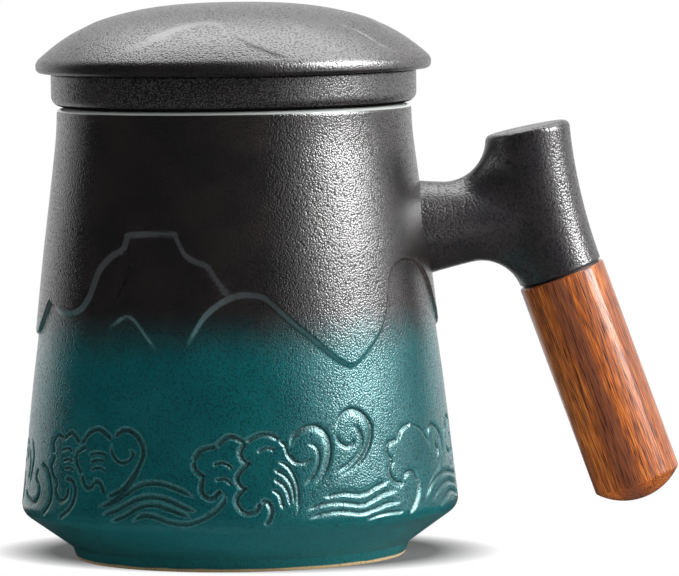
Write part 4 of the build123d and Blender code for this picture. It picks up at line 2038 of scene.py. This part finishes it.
@dataclass(frozen=True)
class Flag:
    """A black card bent round the mug, which shows in nothing but the mug's gloss.

    Attributes:
        start: degrees round from the front at which it starts.
        end: degrees at which it ends.
        side: distance from the mug's axis and height of each of its bends, in metres.
        steps: flat strips that it is bent from.
    """

    name: str
    start: float
    end: float
    side: Points
    steps: int = 24

    def stood(self) -> None:
        """Stands the card up."""
        bends = len(self.side)
        points, faces = [], []
        for step in range(self.steps + 1):
            turn = math.radians(self.start + (self.end - self.start) * step / self.steps)
            for away, level in self.side:
                points.append((away * math.sin(turn), -away * math.cos(turn), level))
            if step:
                for bend in range(bends - 1):
                    here = bends * step + bend
                    faces.append((here - bends, here, here + 1, here - bends + 1))
        mesh = bpy.data.meshes.new(self.name)
        mesh.from_pydata(points, [], faces)
        card = bpy.data.objects.new(self.name, mesh)
        bpy.context.scene.collection.objects.link(card)
        graph = Graph.material(self.name)
        mesh.materials.append(graph.ended(graph.shader(Base_Color=BLACK, Roughness=1.0)))
        card.visible_camera = card.visible_diffuse = card.visible_shadow = False
        card.visible_transmission = False


@dataclass(frozen=True)
class FloorPaper:
    """Pale paper that keeps the mug's shadow, carries a painted shadow under the mug, and is white to the
    eye further out.

    Attributes:
        shadow_middle: middle of the painted shadow under the mug, in metres toward the grip and back.
        shadow_half: half its width and half its depth.
        shadow_slant: how far it slants forward for each metre toward the grip.
        shadow_start: share of its half width at which it has faded out.
        shadow_fade: share over which it does so.
        shadow_dark: how much it darkens the paper.
        shadow_dim: how much it dims the paper's own white.
        shadow_paper: how much of the paper it shows instead of that white.
        foot_ring: distances from the axis between which it turns dark to the mug's gloss, as painted
            shade in the reflection.
        foot_dark: how dark that painted shade turns.
        white_ring: distances over which gloss and glass begin to see white.
    """

    name: str = "floor_paper"
    colour: Colour = paint(250, 250, 250)
    shadow_middle: Pair = (0.001, 0.0063)
    shadow_half: Pair = (0.058, 0.0475)
    shadow_slant: float = 0.149
    shadow_start: float = 1.02
    shadow_fade: float = 0.25
    shadow_dark: float = 0.75
    shadow_dim: float = 0.78
    shadow_paper: float = 0.5
    foot_ring: Pair = (0.14, 0.09)
    foot_dark: float = 0.85
    white_ring: Pair = (0.3, 0.6)

    def made(self) -> bpy.types.Material:
        """Builds the material.

        Returns:
            The material.
        """
        graph = Graph.material(self.name)
        seen, mirrored, through = graph.rays()
        place = graph.place()
        across, back = graph.axis(place, "X"), graph.axis(place, "Y")
        # painted shadow: an ellipse under the mug darkens the paper and its glow to the eye
        wide = (across - self.shadow_middle[0]) / self.shadow_half[0]
        deep = (back + across * self.shadow_slant - self.shadow_middle[1]) / self.shadow_half[1]
        painted_shadow = (self.shadow_start - (wide * wide + deep * deep) ** 0.5) / self.shadow_fade
        painted_shadow = painted_shadow.clamped()
        away = (across * across + back * back) ** 0.5
        # painted shade in the mug's reflection of the floor near its foot
        dark = mirrored * away.ramp(*self.foot_ring) * self.foot_dark
        tone = graph.blend(seen * painted_shadow * self.shadow_dark + dark, self.colour, BLACK)
        paper = graph.shader(Base_Color=tone, Roughness=1.0, Specular_IOR_Level=0.0)
        light = graph.blend(painted_shadow * self.shadow_dim, WHITE, BLACK)
        glow = graph.node("ShaderNodeEmission", {}, {"Color": light, "Strength": 1.0})
        white = (mirrored + through).clamped() * away.ramp(*self.white_ring)
        share = seen * (1 - painted_shadow * self.shadow_paper) + white
        return graph.ended(graph.layered(share.clamped(), paper, glow))


@dataclass
class Studio:
    """The camera, the lamps, the pale floor and the cards that the glaze mirrors.

    Attributes:
        turn: degrees by which the camera stands round from the front, toward the grip.
        pixels_a_millimetre: scale of the picture at the mug.
        distance: how far back the camera stands, in millimetres.
        eye_height: how high it stands, in millimetres.
        axis_pixel: where the mug's axis is across the picture.
        ground_pixel: where the middle of the mug's foot is down the picture.
        roll: degrees by which the camera is rolled.
        frame_pixels: the picture's width and height.
        sensor: width of the camera's sensor, in millimetres.
        clip: nearest and furthest distance that the camera sees, in metres.
        floor_reach: how far the floor reaches each way, in metres.
        world_light: strength of the surroundings' plain light on the mug.
    """

    turn: float = -3.0
    pixels_a_millimetre: float = 4.3
    distance: float = 1390.0
    eye_height: float = 158.0
    axis_pixel: float = 236.9
    ground_pixel: float = 553.3
    roll: float = 0.85
    frame_pixels: Pair = (679.0, 576.0)
    sensor: float = 36.0
    clip: Pair = (0.05, 30.0)
    floor_reach: float = 4.0
    world_light: float = 0.35
    paper: FloorPaper = FloorPaper()
    softboxes: tuple[Softbox, ...] = (
        Softbox(
            "side_softbox",
            azimuth=72.0,
            elevation=31.0,
            away=0.85,
            size=(0.34, 0.62),
            watts=15.5,
            plain=0.5,
        ),
        Softbox(
            "top_softbox", azimuth=165.0, elevation=68.0, away=0.8, size=(1.0, 0.5), watts=4.6
        ),
    )
    flags: tuple[Flag, ...] = (
        Flag("front_flag", start=-126.0, end=36.0, side=pairs(0.06, 0.001, 0.9, 0.001, 0.9, 1.5, 0, 1.5)),
        Flag("grip_flag", start=36.0, end=150.0, side=pairs(0.06, 0.001, 0.22, 0.001)),
    )

    def camera(self) -> None:
        """Puts the camera in front of the mug, a little above it."""
        turn = math.radians(self.turn)
        right = Vector((math.cos(turn), math.sin(turn), 0.0))
        ahead = Vector((-math.sin(turn), math.cos(turn), 0.0))
        off = (self.frame_pixels[0] / 2 - self.axis_pixel) / self.pixels_a_millimetre
        level = (self.ground_pixel - self.frame_pixels[1] / 2) / self.pixels_a_millimetre
        target = right * off + Vector((0.0, 0.0, level))
        place = target - ahead * self.distance
        place.z = self.eye_height
        way = target - place
        lens = bpy.data.cameras.new("studio_camera")
        lens.sensor_width = self.sensor
        lens.lens = self.pixels_a_millimetre * way.length / self.frame_pixels[0] * self.sensor
        lens.clip_start, lens.clip_end = self.clip
        eye = bpy.data.objects.new("studio_camera", lens)
        facing = way.to_track_quat("-Z", "Y").to_matrix()
        roll = Matrix.Rotation(math.radians(-self.roll), 3, "Z")
        eye.matrix_world = Matrix.Translation(place * MM) @ (facing @ roll).to_4x4()
        bpy.context.scene.collection.objects.link(eye)
        bpy.context.scene.camera = eye

    def floor(self) -> None:
        """Lays the pale floor."""
        reach = self.floor_reach
        corners = [(-reach, -reach, 0), (reach, -reach, 0), (reach, reach, 0), (-reach, reach, 0)]
        mesh = bpy.data.meshes.new("studio_floor")
        mesh.from_pydata(corners, [], [(0, 1, 2, 3)])
        floor = bpy.data.objects.new("studio_floor", mesh)
        bpy.context.scene.collection.objects.link(floor)
        mesh.materials.append(self.paper.made())

    def world(self) -> None:
        """Makes the surroundings: white to the eye and in the gloss, plain light on the mug."""
        world = bpy.data.worlds.new("studio_white")
        bpy.context.scene.world = world
        graph = Graph(world)
        world.cycles.sampling_method = "NONE"
        seen, mirrored, through = graph.rays()
        white = (seen + mirrored + through).clamped()
        strength = self.world_light + white * (1 - self.world_light)
        light = graph.node("ShaderNodeBackground", {}, {"Strength": strength, "Color": WHITE})
        graph.node("ShaderNodeOutputWorld", {}, {"Surface": light})

    def built(self) -> None:
        """Sets the whole studio up."""
        self.world()
        self.floor()
        self.camera()
        for softbox in self.softboxes:
            softbox.hung()
        for flag in self.flags:
            flag.stood()
        bpy.context.scene.view_settings.view_transform = "Standard"


def main() -> None:
    """Builds every piece in order and reports it."""
    logging.basicConfig(level=logging.INFO, format="%(name)s: %(message)s")
    pieces = [CupBody().dressed(), InfuserBasket().dressed(), DomedLid().dressed()]
    pieces += SideGrip().dressed()
    for piece in pieces:
        log.info("%s dressed, %d faces", piece.name, len(piece.data.polygons))
    Studio().built()
    log.info("studio ready")


if __name__ == "__main__":
    main()
